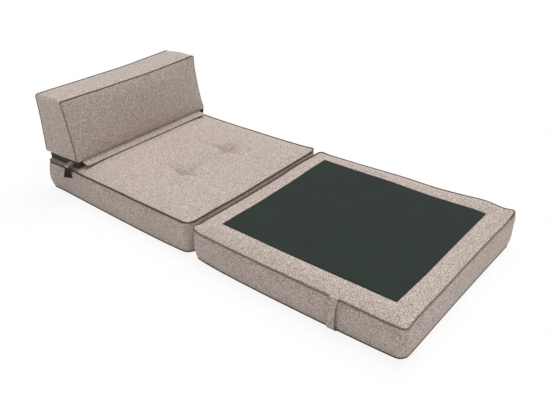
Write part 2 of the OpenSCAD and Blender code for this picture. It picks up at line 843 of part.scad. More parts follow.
// Webbing: a waisted strip that hangs by two corners from the roll inside the tab
module webbing() {
    leg_w = web_w / 2 - tab_w / 2 - fit;
    waist_z = (web_shoulder_z + web_bottom_z) / 2;
    translate([-web_x, web_y, web_z]) along(web_w) circle(web_roll_d / 2);
    for (sy = [-1, 1])
        translate([-web_x - web_t / 2, web_y + sy * (web_w / 2 - leg_w / 2) - leg_w / 2, web_shoulder_z - web_t])
            cube([web_t, leg_w, web_z - web_shoulder_z + web_t]);
    translate([0, web_y, 0])
        translate([-web_x + web_t / 2, 0, 0])
            rotate([0, -90, 0])
                linear_extrude(web_t)
                    polygon([
                        [web_shoulder_z, -web_w / 2], [web_shoulder_z, web_w / 2],
                        [waist_z, web_waist / 2],
                        [web_bottom_z, web_end / 2], [web_bottom_z, -web_end / 2],
                        [waist_z, -web_waist / 2]]);
}

module backrest_tab_left() {
    color("tan") place() tab();
}

module backrest_tab_right() {
    color("tan") place() mirror([1, 0, 0]) tab();
}

module strap_left() {
    color("#1e1c19") place() webbing();
}

module strap_right() {
    color("#1e1c19") place() mirror([1, 0, 0]) webbing();
}

seat_foam();
seat_wadding();
seat_cover();
seat_piping_top();
seat_piping_bottom();
tuft_buttons();
tuft_ties();
seat_zip();
seat_zip_slider();
hinge_strip_seat();
hinge_strip_foot();
backrest_flap();
foot_foam();
foot_wadding();
foot_cover();
foot_base_panel();
foot_piping_top();
foot_piping_bottom();
foot_strap();
foot_zip();
foot_zip_slider();
backrest_foam();
backrest_wadding();
backrest_cover();
backrest_base();
backrest_piping_front();
backrest_piping_rear();
backrest_tab_left();
backrest_tab_right();
strap_left();
strap_right();
backrest_zip();
backrest_zip_slider();
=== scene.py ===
import json
import math

import bpy
import numpy as np
from mathutils import Matrix, Vector


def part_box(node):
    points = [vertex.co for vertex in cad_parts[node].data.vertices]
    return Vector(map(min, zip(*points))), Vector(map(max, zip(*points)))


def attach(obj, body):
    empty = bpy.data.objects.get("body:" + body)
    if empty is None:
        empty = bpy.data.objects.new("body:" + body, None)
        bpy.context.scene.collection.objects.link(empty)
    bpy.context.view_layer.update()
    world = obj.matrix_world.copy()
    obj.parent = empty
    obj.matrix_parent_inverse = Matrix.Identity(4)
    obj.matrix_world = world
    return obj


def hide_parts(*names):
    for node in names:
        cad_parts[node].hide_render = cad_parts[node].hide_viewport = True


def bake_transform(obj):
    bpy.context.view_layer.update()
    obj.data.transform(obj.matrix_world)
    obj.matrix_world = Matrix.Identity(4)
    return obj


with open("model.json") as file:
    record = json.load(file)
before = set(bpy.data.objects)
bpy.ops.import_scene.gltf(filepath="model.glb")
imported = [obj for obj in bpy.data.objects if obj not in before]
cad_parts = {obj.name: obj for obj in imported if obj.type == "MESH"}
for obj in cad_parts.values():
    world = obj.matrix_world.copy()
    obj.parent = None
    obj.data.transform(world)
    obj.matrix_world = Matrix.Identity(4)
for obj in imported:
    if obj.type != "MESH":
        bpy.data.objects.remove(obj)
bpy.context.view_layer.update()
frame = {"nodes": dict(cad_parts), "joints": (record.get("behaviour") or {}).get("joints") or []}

# Driving sizes, in metres
BED_W = 0.800
BLOCK_L = 0.900
BLOCK_H = 0.130
JOINT_GAP = 0.030
SEAT_R = 0.034
FOOT_R = 0.022
SIDE_SWELL = 0.0095
SIDE_DRAW = 0.005
SEAT_CROWN = 0.0195
FOOT_CROWN = 0.0135
PIPING_R = 0.003
PIPING_PROUD = 0.0018
PANEL_MARGIN = 0.080
BACK_W = 0.770
BACK_H = 0.268
BACK_D = 0.230
BACK_TOP_D = 0.182
BACK_REAR_LEAN = 0.022
BACK_TILT = math.radians(3.3)
BACK_OVERHANG = 0.025
BACK_R = 0.014
BACK_CROWN = 0.0135
BACK_REAR_CROWN = 0.0075
BACK_SWELL = 0.0085
BASE_T = 0.020
BASE_Z = 0.139342
BASE_HALF_D = 0.107
BASE_SET_BACK = 0.008
CLEAR = 0.0003

# Places that follow from the sizes and the frame
JOINT_Y = [j for j in frame["joints"] if j["name"] == "foot_fold"][0]["pos_m"][1]
HALF_W = BED_W / 2
HALF_L = BLOCK_L / 2
SEAT_Y = JOINT_Y + JOINT_GAP / 2 + HALF_L
FOOT_Y = JOINT_Y - JOINT_GAP / 2 - HALF_L
BACK_REAR_Y = JOINT_Y + JOINT_GAP / 2 + BLOCK_L + BACK_OVERHANG
BACK_FOOT = BASE_T + CLEAR
TUFTS = [(-0.133, -0.150), (0.133, -0.150)]
TUFT_DEPTH = 0.0245
REBATE = 2 * PIPING_R - PIPING_PROUD + CLEAR
BOXING_LOW = 2 * PIPING_R + 2 * CLEAR

# How fine the meshes are, and how their small forms lie, in metres
CORNER_CELLS = 9
FINE_GAIN, FINE_REACH = 1.5, 0.034
TUBE_SIDES = 10
CORNER_REACH = 0.010
CREASE_REACH, CREASE_DEPTH = 0.0048, 1.9
FOLD_WIDTH = 0.0125
PUFF_OFF, PUFF_REACH = 0.046, 0.040
PUCKER, PUCKER_CELL, PUCKER_REACH = 0.0011, 0.024, 0.030


# Camera, matched to the photograph

CAMERA_AT = (-1.75416, -1.55541 + JOINT_Y, 1.43233)
CAMERA_AZIMUTH = -49.88
CAMERA_ELEVATION = 30.90
CAMERA_ROLL = -1.361
FOCAL_PIXELS = 647.0
IMAGE_W = 550
SENSOR = 36.0

az, el, roll = (math.radians(a) for a in (CAMERA_AZIMUTH, CAMERA_ELEVATION, CAMERA_ROLL))
back = Vector((math.sin(az) * math.cos(el), -math.cos(az) * math.cos(el), math.sin(el)))
right = (-back).cross(Vector((0, 0, 1))).normalized()
up = right.cross(-back)
right_r = math.cos(roll) * right + math.sin(roll) * up
up_r = -math.sin(roll) * right + math.cos(roll) * up
camera_data = bpy.data.cameras.new("camera")
camera_data.sensor_width = SENSOR
camera_data.lens = FOCAL_PIXELS / IMAGE_W * SENSOR
camera_data.clip_start = 0.05
camera = bpy.data.objects.new("camera", camera_data)
turned = Matrix((right_r, up_r, back)).transposed().to_4x4()
camera.matrix_world = Matrix.Translation(CAMERA_AT) @ turned
bpy.context.scene.collection.objects.link(camera)
bpy.context.scene.camera = camera


# Noise and curves

def lattice(i, j, k, seed):
    """A fixed number from 0 to 1 for each lattice point."""
    h = (i * 374761393 + j * 668265263 + k * 2147483647 + seed * 1274126177) & 0xFFFFFFFF
    h = ((h ^ (h >> 13)) * 1274126177) & 0xFFFFFFFF
    return ((h ^ (h >> 16)) & 0xFFFF) / 65535.0


def noise(p, size, seed=0):
    """Smooth value noise from -1 to 1 at points p, with features about size across."""
    q = np.asarray(p, float) / size
    base = np.floor(q).astype(np.int64)
    f = q - base
    f = f * f * (3 - 2 * f)
    total = np.zeros(len(q))
    for corner in np.ndindex(2, 2, 2):
        weight = np.prod(np.where(corner, f, 1 - f), axis=1)
        total += weight * lattice(*(base + corner).T, seed)
    return 2 * total - 1


def flat_noise(x, y, size, seed):
    return noise(np.c_[x.ravel(), y.ravel(), np.zeros(x.size)], size, seed).reshape(x.shape)


def bell(d, w):
    return np.exp(-(d / w) ** 2)


def smooth(t):
    t = np.clip(t, 0, 1)
    return t * t * (3 - 2 * t)


def crown(t, power):
    return 1 - np.clip(np.abs(t), 0, 1) ** power


def unit(vectors):
    return vectors / np.linalg.norm(vectors, axis=1)[:, None]


def run_along(points, closed=False):
    """The length of the way along points, from 0 at the first."""
    steps = np.diff(np.vstack([points, points[:1]]) if closed else points, axis=0)
    return np.concatenate([[0], np.cumsum(np.linalg.norm(steps, axis=1))])


# Meshes

def make_object(name, verts, faces, uvs=None, material=None, shaded=True):
    """A mesh object from arrays. uvs holds one (u, v) in metres for each corner of each face."""
    mesh = bpy.data.meshes.new(name)
    mesh.from_pydata(np.array(verts, float).tolist(), [], [[int(i) for i in f] for f in faces])
    if uvs is not None:
        layer = mesh.uv_layers.new(name="cloth")
        layer.data.foreach_set("uv", np.concatenate([np.ravel(u) for u in uvs]))
    mesh.update()
    if shaded:
        mesh.polygons.foreach_set("use_smooth", [True] * len(mesh.polygons))
    obj = bpy.data.objects.new(name, mesh)
    bpy.context.scene.collection.objects.link(obj)
    if material:
        mesh.materials.append(material)
    return obj


def add_piece(name, parts, material, body, nodes=()):
    """One object from several (verts, faces, uvs) parts, riding on a body."""
    verts, faces, uvs, count = [], [], [], 0
    for v, f, u in parts:
        verts.append(v)
        faces += [[i + count for i in face] for face in f]
        uvs += list(u)
        count += len(v)
    obj = make_object(name, np.concatenate(verts), faces, uvs, material)
    if body:
        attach(obj, body)
    if nodes:
        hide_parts(*nodes)
    return obj


def grid_lines(half, r, cell, fine):
    """Positions from -half to half about cell apart, closer in the corners and at the places in fine."""
    corner = np.linspace(-half, -half + r, CORNER_CELLS + 1)
    line = np.linspace(-half + r, half - r, 2001)
    dense = 1 + FINE_GAIN * sum((bell(line - place, FINE_REACH) for place in fine), np.zeros(len(line)))
    run = np.concatenate([[0], np.cumsum((dense[1:] + dense[:-1]) / 2 * (line[1] - line[0]))])
    middle = np.interp(np.linspace(0, run[-1], max(2, round(run[-1] / cell)) + 1), run, line)
    return np.concatenate([corner[:-1], middle, -corner[::-1][1:]])


def round_out(x, y, hw, hl, r):
    """Turns the corners of a rectangle of points into arcs of radius r."""
    s = np.clip((np.abs(x) - hw + r) / r, 0, None)
    t = np.clip((np.abs(y) - hl + r) / r, 0, None)
    px = np.sign(x) * (np.minimum(np.abs(x), hw - r) + r * s * np.sqrt(1 - t * t / 2))
    py = np.sign(y) * (np.minimum(np.abs(y), hl - r) + r * t * np.sqrt(1 - s * s / 2))
    return px, py


def draw_in(px, py, hw, hl, draw):
    """Draws the sides in between the corners. draw holds the draw of the X, -Y and +Y sides."""
    u, v = px / hw, py / hl
    dy = np.where(py < 0, draw[1], draw[2])
    return (px * (1 - draw[0] / hw * np.clip(1 - v * v, 0, None)),
            py * (1 - dy / hl * np.clip(1 - u * u, 0, None)))


def loop_normals(loop):
    d = unit(np.roll(loop, -1, 0) - np.roll(loop, 1, 0))
    return np.stack([d[:, 1], -d[:, 0]], 1)


def rim_of(grid):
    """The values round the edge of a grid."""
    return np.concatenate([grid[0, :-1], grid[:-1, -1], grid[-1, :0:-1], grid[:0:-1, 0]])


class Form:
    """The outline, grid and side rings that a cushion's cover and its piping share."""

    def __init__(self, hw, hl, r, h, draw, swell, cell, seed, flat_side=False, edge=0.0, fine=((), ())):
        self.hw, self.hl, self.h, self.swell = hw, hl, h, swell
        self.seed, self.edge = seed, edge
        xs, ys = grid_lines(hw, r, cell, fine[0]), grid_lines(hl, r, cell, fine[1])
        self.gx, self.gy = np.meshgrid(xs, ys)
        self.px, self.py = draw_in(*round_out(self.gx, self.gy, hw, hl, r), hw, hl, draw)
        self.loop = np.stack([rim_of(self.px), rim_of(self.py)], 1)
        self.normals = loop_normals(self.loop)
        self.swell_share = np.ones(len(self.loop))
        if flat_side:
            self.swell_share -= np.clip(-self.normals[:, 1], 0, None)
        middle = np.array([hw, hl]) - r * (1 - math.sqrt(0.5))
        away = np.linalg.norm(np.abs(self.loop) - middle, axis=1)
        self.corner, self.crease = bell(away, CORNER_REACH), bell(away, CREASE_REACH)
        self.along = run_along(self.loop, closed=True)

    def offset(self, out):
        """The rim moved outward by out, which may be one number or one for each rim point."""
        return self.loop + self.normals * np.broadcast_to(out, (len(self.loop),))[:, None]


def side_profile(h, low, rebate, steps):
    """Height and share of the swell for the rings of the boxing between its two rebates."""
    eased = 0.5 - 0.5 * np.cos(math.pi * np.linspace(0, 1, steps))
    return [(h - rebate - (h - rebate - low) * a, math.sin(math.pi * a) ** 0.62) for a in eased]


def grid_quads(index):
    """The faces of a grid of vertex numbers."""
    return np.stack([index[:-1, :-1], index[:-1, 1:], index[1:, 1:], index[1:, :-1]], -1).reshape(-1, 4)


def band(ring, following):
    """The faces between two closed rings of vertex numbers."""
    return np.stack([ring, following, np.roll(following, -1), np.roll(ring, -1)], 1)


def ring_faces(index):
    """The faces between successive closed rings of vertex numbers."""
    return [tuple(face) for row, following in zip(index, index[1:]) for face in band(row, following)]


def uv_quads(*corners):
    """The uvs of many quads, from the arrays of u and v of each corner."""
    return np.stack([np.stack(corner, 1) for corner in corners], 1)


def cushion(form, top, low, bottom=None, rings=17, rebate=REBATE, uneven=1.0):
    """Vertices, faces and uvs of a cushion with a shaped top, boxing and a flat or shaped underside.
    uneven is the share of its tufts, puckers, wrinkles and softness."""
    f = form
    index = np.arange(f.px.size).reshape(f.px.shape)
    rim = rim_of(index)
    x, y = f.px.copy(), f.py.copy()
    x.flat[rim], y.flat[rim] = f.offset(-rebate).T
    verts = [np.stack([x.ravel(), y.ravel(), top(f.gx, f.gy, uneven).ravel()], 1)]
    faces = [grid_quads(index)]
    uvs = [verts[0][faces[0]][..., :2]]
    n, total = len(f.loop), x.size
    last, last_z = rim, np.full(n, f.h)
    u0, u1 = f.along[:-1], f.along[1:]
    for z, share in [(f.h - rebate, None), *side_profile(f.h, low, rebate, rings), (low, None), (0.0, None)]:
        z = np.full(n, z)
        if share is None:
            pts = f.offset(-rebate)
        else:
            swell = f.swell_share * share
            pts = f.offset(f.swell * swell + f.edge * (f.corner - CREASE_DEPTH * f.crease) * swell)
            spots = np.c_[pts, z]
            wrinkle = 0.0016 * noise(spots, 0.09, f.seed) + 0.0009 * noise(spots, 0.035, f.seed + 1)
            pts = pts + f.normals * (uneven * wrinkle * swell)[:, None]
        verts.append(np.c_[pts, z])
        ids = total + np.arange(n)
        faces.append(band(last, ids))
        uvs.append(uv_quads((u0, last_z), (u0, z), (u1, z), (u1, last_z)))
        last, last_z, total = ids, z, total + n
    if bottom is None:
        for scale in (0.97, 0.9, 0.6, 0.2):
            verts.append(np.c_[f.loop * scale, np.zeros(n)])
            ids = total + np.arange(n)
            faces.append(band(last, ids))
            uvs.append(np.concatenate(verts)[faces[-1]][..., :2])
            last, total = ids, total + n
        verts.append(np.zeros((1, 3)))
        faces.append(np.stack([last, np.full(n, total), np.roll(last, -1)], 1))
    else:
        inner = np.full(x.shape, -1)
        inner.flat[rim] = last
        mask = inner < 0
        inner[mask] = total + np.arange(mask.sum())
        verts.append(np.c_[f.px[mask], f.py[mask], bottom(f.gx, f.gy, uneven)[mask]])
        faces.append(grid_quads(inner)[:, [0, 3, 2, 1]])
    verts = np.concatenate(verts)
    uvs.append(verts[faces[-1]][..., :2])
    return verts, [tuple(row) for group in faces for row in group], [u for group in uvs for u in group]


def tube(loop, normals, z, radius, sides=TUBE_SIDES):
    """Vertices, faces and uvs of a closed tube along a loop. z and radius may change along it."""
    n = len(loop)
    angles = np.arange(sides) * 2 * math.pi / sides
    radius = np.broadcast_to(radius, (n,))
    out = loop[:, None, :] + normals[:, None, :] * (radius[:, None] * np.cos(angles))[..., None]
    up_to = np.broadcast_to(z, (n,))[:, None] + radius[:, None] * np.sin(angles)
    verts = np.concatenate([out, up_to[..., None]], -1).reshape(-1, 3)
    index = np.arange(n * sides).reshape(n, sides)
    i, k = np.divmod(index.ravel(), sides)
    steps = run_along(loop, closed=True)
    turn = 2 * math.pi * radius[0] / sides
    u0, u1, v0, v1 = steps[i], steps[i + 1], k * turn, (k + 1) * turn
    uvs = list(uv_quads((u0, v0), (u1, v0), (u1, v1), (u0, v1)))
    return verts, ring_faces(np.vstack([index, index[:1]])), uvs


def strip(path, across, width, thick, cells=8):
    """A flat strip of cloth with rounded edges along a path, with its width along the vector across."""
    n = len(path)
    across = np.broadcast_to(across, (n, 3))
    width = np.broadcast_to(width, (n,))
    out = unit(np.cross(unit(np.gradient(path, axis=0)), across))
    flat = np.linspace(-1, 1, cells + 1)
    arc = np.linspace(-math.pi / 2, math.pi / 2, 5)[1:-1]
    side = np.array([(f, 0.0, 1.0) for f in flat] + [(1.0, math.cos(a), -math.sin(a)) for a in arc])
    f, edge, level = np.vstack([side, -side]).T
    m = len(f)
    reach = f[None, :] * (width[:, None] / 2 - thick / 2) + edge[None, :] * thick / 2
    verts = (path[:, None, :] + across[:, None, :] * reach[..., None]
             + out[:, None, :] * (level[None, :, None] * thick / 2))
    run = run_along(path)
    i, k = np.divmod(np.arange((n - 1) * m), m)
    faces = ring_faces(np.arange(n * m).reshape(n, m))
    turn = run_along(np.c_[reach[0], level * thick / 2], closed=True)
    u0, u1, v0, v1 = turn[k], turn[k + 1], run[i], run[i + 1]
    uvs = list(uv_quads((u0, v0), (u0, v1), (u1, v1), (u1, v0)))
    for row, order in ((0, 1), (n - 1, -1)):
        ids = (row * m + np.arange(m))[::order]
        faces.append(tuple(ids))
        uvs.append(np.c_[turn[:-1], level * thick][::order])
    return verts.reshape(-1, 3), faces, uvs


def thread(points, normal, pitch=0.0062, length=0.0044, radius=0.00045, lift=0.0002):
    """A run of stitches along a polyline on a surface that faces along normal."""
    run = run_along(points)
    count = max(1, int(run[-1] / pitch))
    faces = ring_faces(np.arange(24).reshape(4, 6))
    uvs = [np.full((4, 2), 0.001 * (k % 7)) for k in range(len(faces))]
    parts = []
    for s in (np.arange(count) + 0.5) * run[-1] / count:
        a, b = (np.array([np.interp(s + e, run, points[:, k]) for k in range(3)])
                for e in (-length / 2, length / 2))
        ahead = (b - a) / max(np.linalg.norm(b - a), 1e-9)
        side = np.cross(ahead, normal)
        side /= max(np.linalg.norm(side), 1e-9)
        above = np.cross(side, ahead)
        rings = []
        for t, share in ((0, 0.3), (0.22, 1.0), (0.78, 1.0), (1, 0.3)):
            centre = a + (b - a) * t + above * (lift - radius * 0.5 * (1 - share))
            rings += [centre + radius * share * (side * math.cos(q) + above * math.sin(q))
                      for q in np.arange(6) * math.pi / 3]
        parts.append((np.array(rings), faces, uvs))
    return parts


# Softness

def lean(points, seed, reach=0.0035):
    """The slow unevenness of a stuffed block: a smooth drift of its seams that fades out at the floor."""
    p = np.asarray(points, float)
    rise = np.clip(p[:, 2] / BLOCK_H, 0, 1)
    spots = p * np.array([1, 1, 0.6])
    drift = np.stack([noise(spots + 3.1, 0.21, seed), noise(spots + 7.7, 0.21, seed + 1),
                      noise(spots + 1.3, 0.17, seed + 2)], 1)
    return p + drift * reach * rise[:, None]


def ears(points, form, height, reach, out=0.003, inset=0.010):
    """The seam allowance stands up a little at the four corners of the top panel."""
    p = np.array(points, float)
    near_top = np.clip((p[:, 2] - form.h * 0.72) / (form.h * 0.28), 0, 1)
    for sx, sy in ((-1, -1), (-1, 1), (1, -1), (1, 1)):
        c = np.array([sx * (form.hw - inset), sy * (form.hl - inset)])
        w = bell(np.linalg.norm(p[:, :2] - c, axis=1), reach) * near_top
        p += np.outer(w, [sx * out, sy * out, height])
    return p


def sculpt(points, moves):
    """Soft pushes: each move is a centre, a reach and a shift that fades out with distance."""
    p = np.array(points, float)
    for centre, reach, shift in moves:
        d = np.linalg.norm((p - centre) / reach, axis=1)
        p += np.outer(bell(d, 1.0), shift)
    return p


def calm(plain, shaped, nodes, reach=0.05):
    """Where a flat or hard part lies on a cushion, the shape fades back to the plain one."""
    keep = np.ones(len(plain))
    for node in nodes:
        low, high = (np.array(c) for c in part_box(node))
        gap = np.linalg.norm(np.clip(low - plain, 0, None) + np.clip(plain - high, 0, None), axis=1)
        keep = np.minimum(keep, smooth((gap - 0.004) / reach))
    return plain + (shaped - plain) * keep[:, None]


# Surfaces of the panels

def seam_pucker(x, y, form, seed, base):
    """Small puckers that the seams pull into a panel, strongest at its edge and gone where base is."""
    d = np.minimum(form.hw - np.abs(x), form.hl - np.abs(y))
    fade = np.exp(-np.clip(d, 0, None) / PUCKER_REACH) * np.clip(d / 0.012, 0, 1)
    return PUCKER * flat_noise(x, y, PUCKER_CELL, seed) * fade * np.sqrt(base)


def tuft_relief(x, y):
    """How much of the crown is left, and how far the cloth puffs up, round the tufts and their folds."""
    left = np.ones_like(x)
    puffed = np.zeros_like(x)
    for k, (tx, ty) in enumerate(TUFTS):
        dx, dy = x - tx, y - ty
        d = np.hypot(dx, dy)
        behind = np.clip(0.5 + (dx + dy) / np.maximum(d, 1e-6) / 2.83, 0, 1)
        left *= 1 - (0.60 * np.exp(-d / (0.012 + 0.018 * behind)) + 0.40 * bell(d, 0.030 + 0.036 * behind))
        for a, b, reach, deep, bend in ((dx, dy, 0.135, 0.56, 0.004), (-dx, dy, 0.080, 0.44, -0.007),
                                        (dy, dx, 0.110, 0.52, 0.004), (-dy, dx, 0.075, 0.40, 0.006)):
            run = np.clip(a, 0, None)
            line = np.abs(b - bend * np.sin(run / 0.035))
            left *= 1 - deep * np.exp(-line / FOLD_WIDTH - (run / reach) ** 2) * smooth(a / 0.004 + 0.5)
        for sx, sy, rise in ((-1, -1, 0.0130), (-1, 1, 0.0070), (1, -1, 0.0080), (1, 1, 0.0070)):
            puffed += rise * bell(np.hypot(dx - sx * PUFF_OFF, dy - sy * PUFF_OFF), PUFF_REACH)
    return left, puffed


def seat_height(x, y, uneven):
    base = crown(x / HALF_W, 7) * crown(y / HALF_L, 7)
    left, puffed = tuft_relief(x, y)
    soft = 0.0016 * flat_noise(x, y, 0.16, 11) + 0.0006 * flat_noise(x, y, 0.06, 12)
    pucker = seam_pucker(x, y, seat_form, 13, base)
    soft += puffed - TUFT_DEPTH * (1 - left)
    return BLOCK_H + SEAT_CROWN * base + uneven * (soft * base + pucker)


def foot_edges(x, y):
    """The distances to the sides, the share of the crown, and the share of the border round the panel."""
    d = np.stack([HALF_W - np.abs(x), HALF_L - np.abs(y)])
    rise = 1 - np.clip(1 - np.clip(d, 0, None) / 0.063, 0, 1) ** 2.4
    rise[1] = np.where(y > 0, smooth(d[1] / 0.066) ** 0.8, rise[1])
    border = 1 - smooth((np.minimum(d[0], d[1]) - PANEL_MARGIN + 0.014) / 0.012)
    return d, rise[0] * rise[1], border


def foot_height(x, y, uneven):
    d, flat, border = foot_edges(x, y)
    soft = 0.0014 * flat_noise(x, y, 0.12, 21) + 0.0006 * flat_noise(x, y, 0.05, 22)
    mitre = 0.0020 * bell(d[0] - d[1], 0.005)
    roll = 0.0026 * bell(np.minimum(d[0], d[1]) - 0.045, 0.022)
    pucker = seam_pucker(x, y, foot_form, 23, flat)
    return BLOCK_H + FOOT_CROWN * flat + uneven * ((soft + roll - mitre) * flat * border + pucker)


def back_base(x, y):
    return crown(x / (BACK_W / 2), 5) * crown(2 * y / BACK_H, 4)


def back_front(x, y, uneven):
    base = back_base(x, y)
    soft = 0.0016 * flat_noise(x, y, 0.13, 31) + 0.0005 * flat_noise(x, y, 0.05, 32)
    pucker = seam_pucker(x, y, back_form, 33, base)
    return BACK_D + BACK_CROWN * base + uneven * (soft * base + pucker)


def back_rear(x, y, uneven):
    base = back_base(x, y)
    pucker = seam_pucker(x, y, back_form, 43, base)
    return -BACK_REAR_CROWN * base + uneven * (0.0012 * flat_noise(x, y, 0.13, 41) * base + pucker)


def lean_back(p):
    """From the backrest's own axes, y forward and z up from the foot of its board, to the frame."""
    c, s = math.cos(BACK_TILT), math.sin(BACK_TILT)
    y, z = p[:, 1], p[:, 2]
    return np.c_[p[:, 0], BACK_REAR_Y + y * c + z * s, BASE_Z - y * s + z * c]


def stand_up(points):
    """Stands the backrest's pad on its board, tapers it towards the top and leans it back."""
    p = np.asarray(points, float)
    z = p[:, 1] + BACK_H / 2
    depth = p[:, 2] * (1 - (BACK_D - BACK_TOP_D) / BACK_D * z / BACK_H)
    return lean_back(np.c_[p[:, 0], -BACK_REAR_LEAN * z / BACK_H - depth, BACK_FOOT + z])


seat_form = Form(HALF_W, HALF_L, SEAT_R, BLOCK_H, (SIDE_DRAW, 0, 0), SIDE_SWELL, 0.0080, seed=101,
                 fine=([t[0] for t in TUFTS], [TUFTS[0][1]]))
foot_form = Form(HALF_W, HALF_L, FOOT_R, BLOCK_H, (SIDE_DRAW, SIDE_DRAW, 0), SIDE_SWELL, 0.0080,
                 seed=201, edge=0.003)
back_form = Form(BACK_W / 2, BACK_H / 2, BACK_R, BACK_D, (0.005, 0, 0.005), BACK_SWELL, 0.0075,
                 seed=301, flat_side=True, edge=0.002)


# Materials

# Cells of yarn in a metre, and the tone of the painted shade in the tufts' folds
YARN_ACROSS, YARN_ALONG = 430, 720
FOLD_SHADE = (0.76, 0.745, 0.73, 1)


def srgb(r, g, b):
    """A colour given as 0 to 255 screen values, as linear values for a shader."""
    values = [c / 255 for c in (r, g, b)]
    return tuple(c / 12.92 if c <= 0.04045 else ((c + 0.055) / 1.055) ** 2.4 for c in values) + (1.0,)


def add_node(tree, kind, inputs=None, **settings):
    """A shader node with its settings and inputs. An input is a value or another node's output."""
    node = tree.nodes.new("ShaderNode" + kind)
    for key, value in settings.items():
        setattr(node, key, value)
    for key, value in (inputs or {}).items():
        if isinstance(value, bpy.types.NodeSocket):
            tree.links.new(value, node.inputs[key])
        else:
            node.inputs[key].default_value = value
    return node


def new_material(name, roughness=0.9, sheen=0.0, specular=0.25, metallic=0.0):
    mat = bpy.data.materials.new(name)
    mat.use_nodes = True
    shader = mat.node_tree.nodes["Principled BSDF"]
    for key, value in (("Roughness", roughness), ("Sheen Weight", sheen), ("Sheen Roughness", 0.45),
                       ("Specular IOR Level", specular), ("Metallic", metallic)):
        shader.inputs[key].default_value = value
    return mat, mat.node_tree, shader


def mapped(tree, scale, source="cloth", turn=0.0):
    """Coordinates in metres times scale: the cloth layer laid flat, or the object's own."""
    if source == "cloth":
        coords = add_node(tree, "UVMap", uv_map="cloth").outputs["UV"]
    else:
        coords = add_node(tree, "TexCoord").outputs["Object"]
    inputs = {"Scale": scale, "Rotation": (0, 0, turn), "Vector": coords}
    return add_node(tree, "Mapping", inputs).outputs["Vector"]


def noise_node(tree, vector, scale, detail=2.0, rough=0.6):
    inputs = {"Scale": scale, "Detail": detail, "Roughness": rough, "Vector": vector}
    return add_node(tree, "TexNoise", inputs).outputs["Fac"]


def yarn_node(tree, vector):
    """One random value for each short length of yarn."""
    cells = add_node(tree, "TexVoronoi", {"Scale": 1.0, "Vector": vector})
    return add_node(tree, "SeparateColor", {0: cells.outputs["Color"]}).outputs[0]


def wave_node(tree, vector, distortion=1.2):
    inputs = {"Scale": 1.0, "Distortion": distortion, "Detail": 1.0, "Vector": vector}
    return add_node(tree, "TexWave", inputs).outputs["Fac"]


def math_node(tree, kind, a, b):
    return add_node(tree, "Math", {0: a, 1: b}, operation=kind).outputs[0]


def weighted(tree, a, share_a, b, share_b):
    """The sum of a and b, each times its share."""
    scaled = [math_node(tree, "MULTIPLY", value, share) for value, share in ((a, share_a), (b, share_b))]
    return math_node(tree, "ADD", *scaled)


def darken(tree, share, colour, factor):
    """A colour times a factor, as far as the share says."""
    inputs = {0: share, 6: colour, 7: factor}
    return add_node(tree, "Mix", inputs, data_type="RGBA", blend_type="MULTIPLY").outputs[2]


def ramp(tree, fac, stops):
    node = add_node(tree, "ValToRGB", {"Fac": fac})
    elements = node.color_ramp.elements
    while len(elements) < len(stops):
        elements.new(0.5)
    for element, (place, colour) in zip(elements, stops):
        element.position = place
        element.color = colour
    return node.outputs["Color"]


def dress(tree, shader, colour, height, strength, distance):
    """Gives the shader its colour and its fine relief."""
    tree.links.new(colour, shader.inputs["Base Color"])
    bump = add_node(tree, "Bump", {"Strength": strength, "Distance": distance, "Height": height})
    tree.links.new(bump.outputs["Normal"], shader.inputs["Normal"])


def upholstery(name, *tones, spread=0.30, bump=0.25):
    """Melange cloth: light and dark lengths of yarn both ways, a basket weave and slow changes of tone.
    Where the piece has a value called fold, its colour is darker there: painted shade in the tufts and their
    folds."""
    mat, tree, shader = new_material(name, roughness=0.93, sheen=0.12, specular=0.2)
    weft = yarn_node(tree, mapped(tree, (YARN_ACROSS, YARN_ALONG, 300)))
    warp = yarn_node(tree, mapped(tree, (YARN_ALONG, YARN_ACROSS, 300)))
    fuzz = noise_node(tree, mapped(tree, (700, 700, 700)), 1.0)
    yarn = weighted(tree, weft, 0.44, warp, 0.36)
    mixed = math_node(tree, "ADD", yarn, math_node(tree, "MULTIPLY", fuzz, 0.20))
    places = (0.5 - spread, 0.5, 0.5 + spread)
    colour = ramp(tree, mixed, [(place, srgb(*tone)) for place, tone in zip(places, tones)])
    slow = noise_node(tree, mapped(tree, (1, 1, 1), "object"), 6.0, 3.0, 0.5)
    tone = ramp(tree, slow, [(0.3, (0.985, 0.983, 0.98, 1)), (0.7, (1.01, 1.01, 1.01, 1))])
    # Painted shade: the colour darkens as far as the piece's fold value says
    fold = add_node(tree, "Attribute", attribute_name="fold").outputs["Fac"]
    colour = darken(tree, fold, darken(tree, 1.0, colour, tone), FOLD_SHADE)
    weave = math_node(tree, "MULTIPLY", *(wave_node(tree, mapped(tree, (120, 120, 120), turn=turn))
                                          for turn in (0, math.pi / 2)))
    dress(tree, shader, colour, weighted(tree, weave, 0.6, yarn, 0.4), bump, 0.0006)
    return mat


def plain_cloth(name, rgb, scale=900.0, roughness=0.85, sheen=0.1, bump=0.4, vary=0.14, ribs=0.0):
    """A fine close cloth of one colour, with a change of tone from thread to thread, and ribs for webbing."""
    mat, tree, shader = new_material(name, roughness=roughness, sheen=sheen)
    fine = noise_node(tree, mapped(tree, (1, 1, 1)), scale)
    slow = noise_node(tree, mapped(tree, (1, 1, 1), "object"), 9.0, 2.0, 0.5)
    low, high = (tuple(c * share for c in srgb(*rgb)[:3]) + (1.0,) for share in (1 - vary, 1 + vary))
    colour = ramp(tree, weighted(tree, fine, 0.6, slow, 0.4), [(0.38, low), (0.62, high)])
    height = fine
    if ribs:
        wave, cross = (wave_node(tree, mapped(tree, (ribs, ribs, ribs), turn=turn), 0.6)
                       for turn in (math.pi / 4, -math.pi / 4))
        height = math_node(tree, "ADD", math_node(tree, "MULTIPLY", wave, cross), fine)
    dress(tree, shader, colour, height, bump, 0.0005)
    return mat


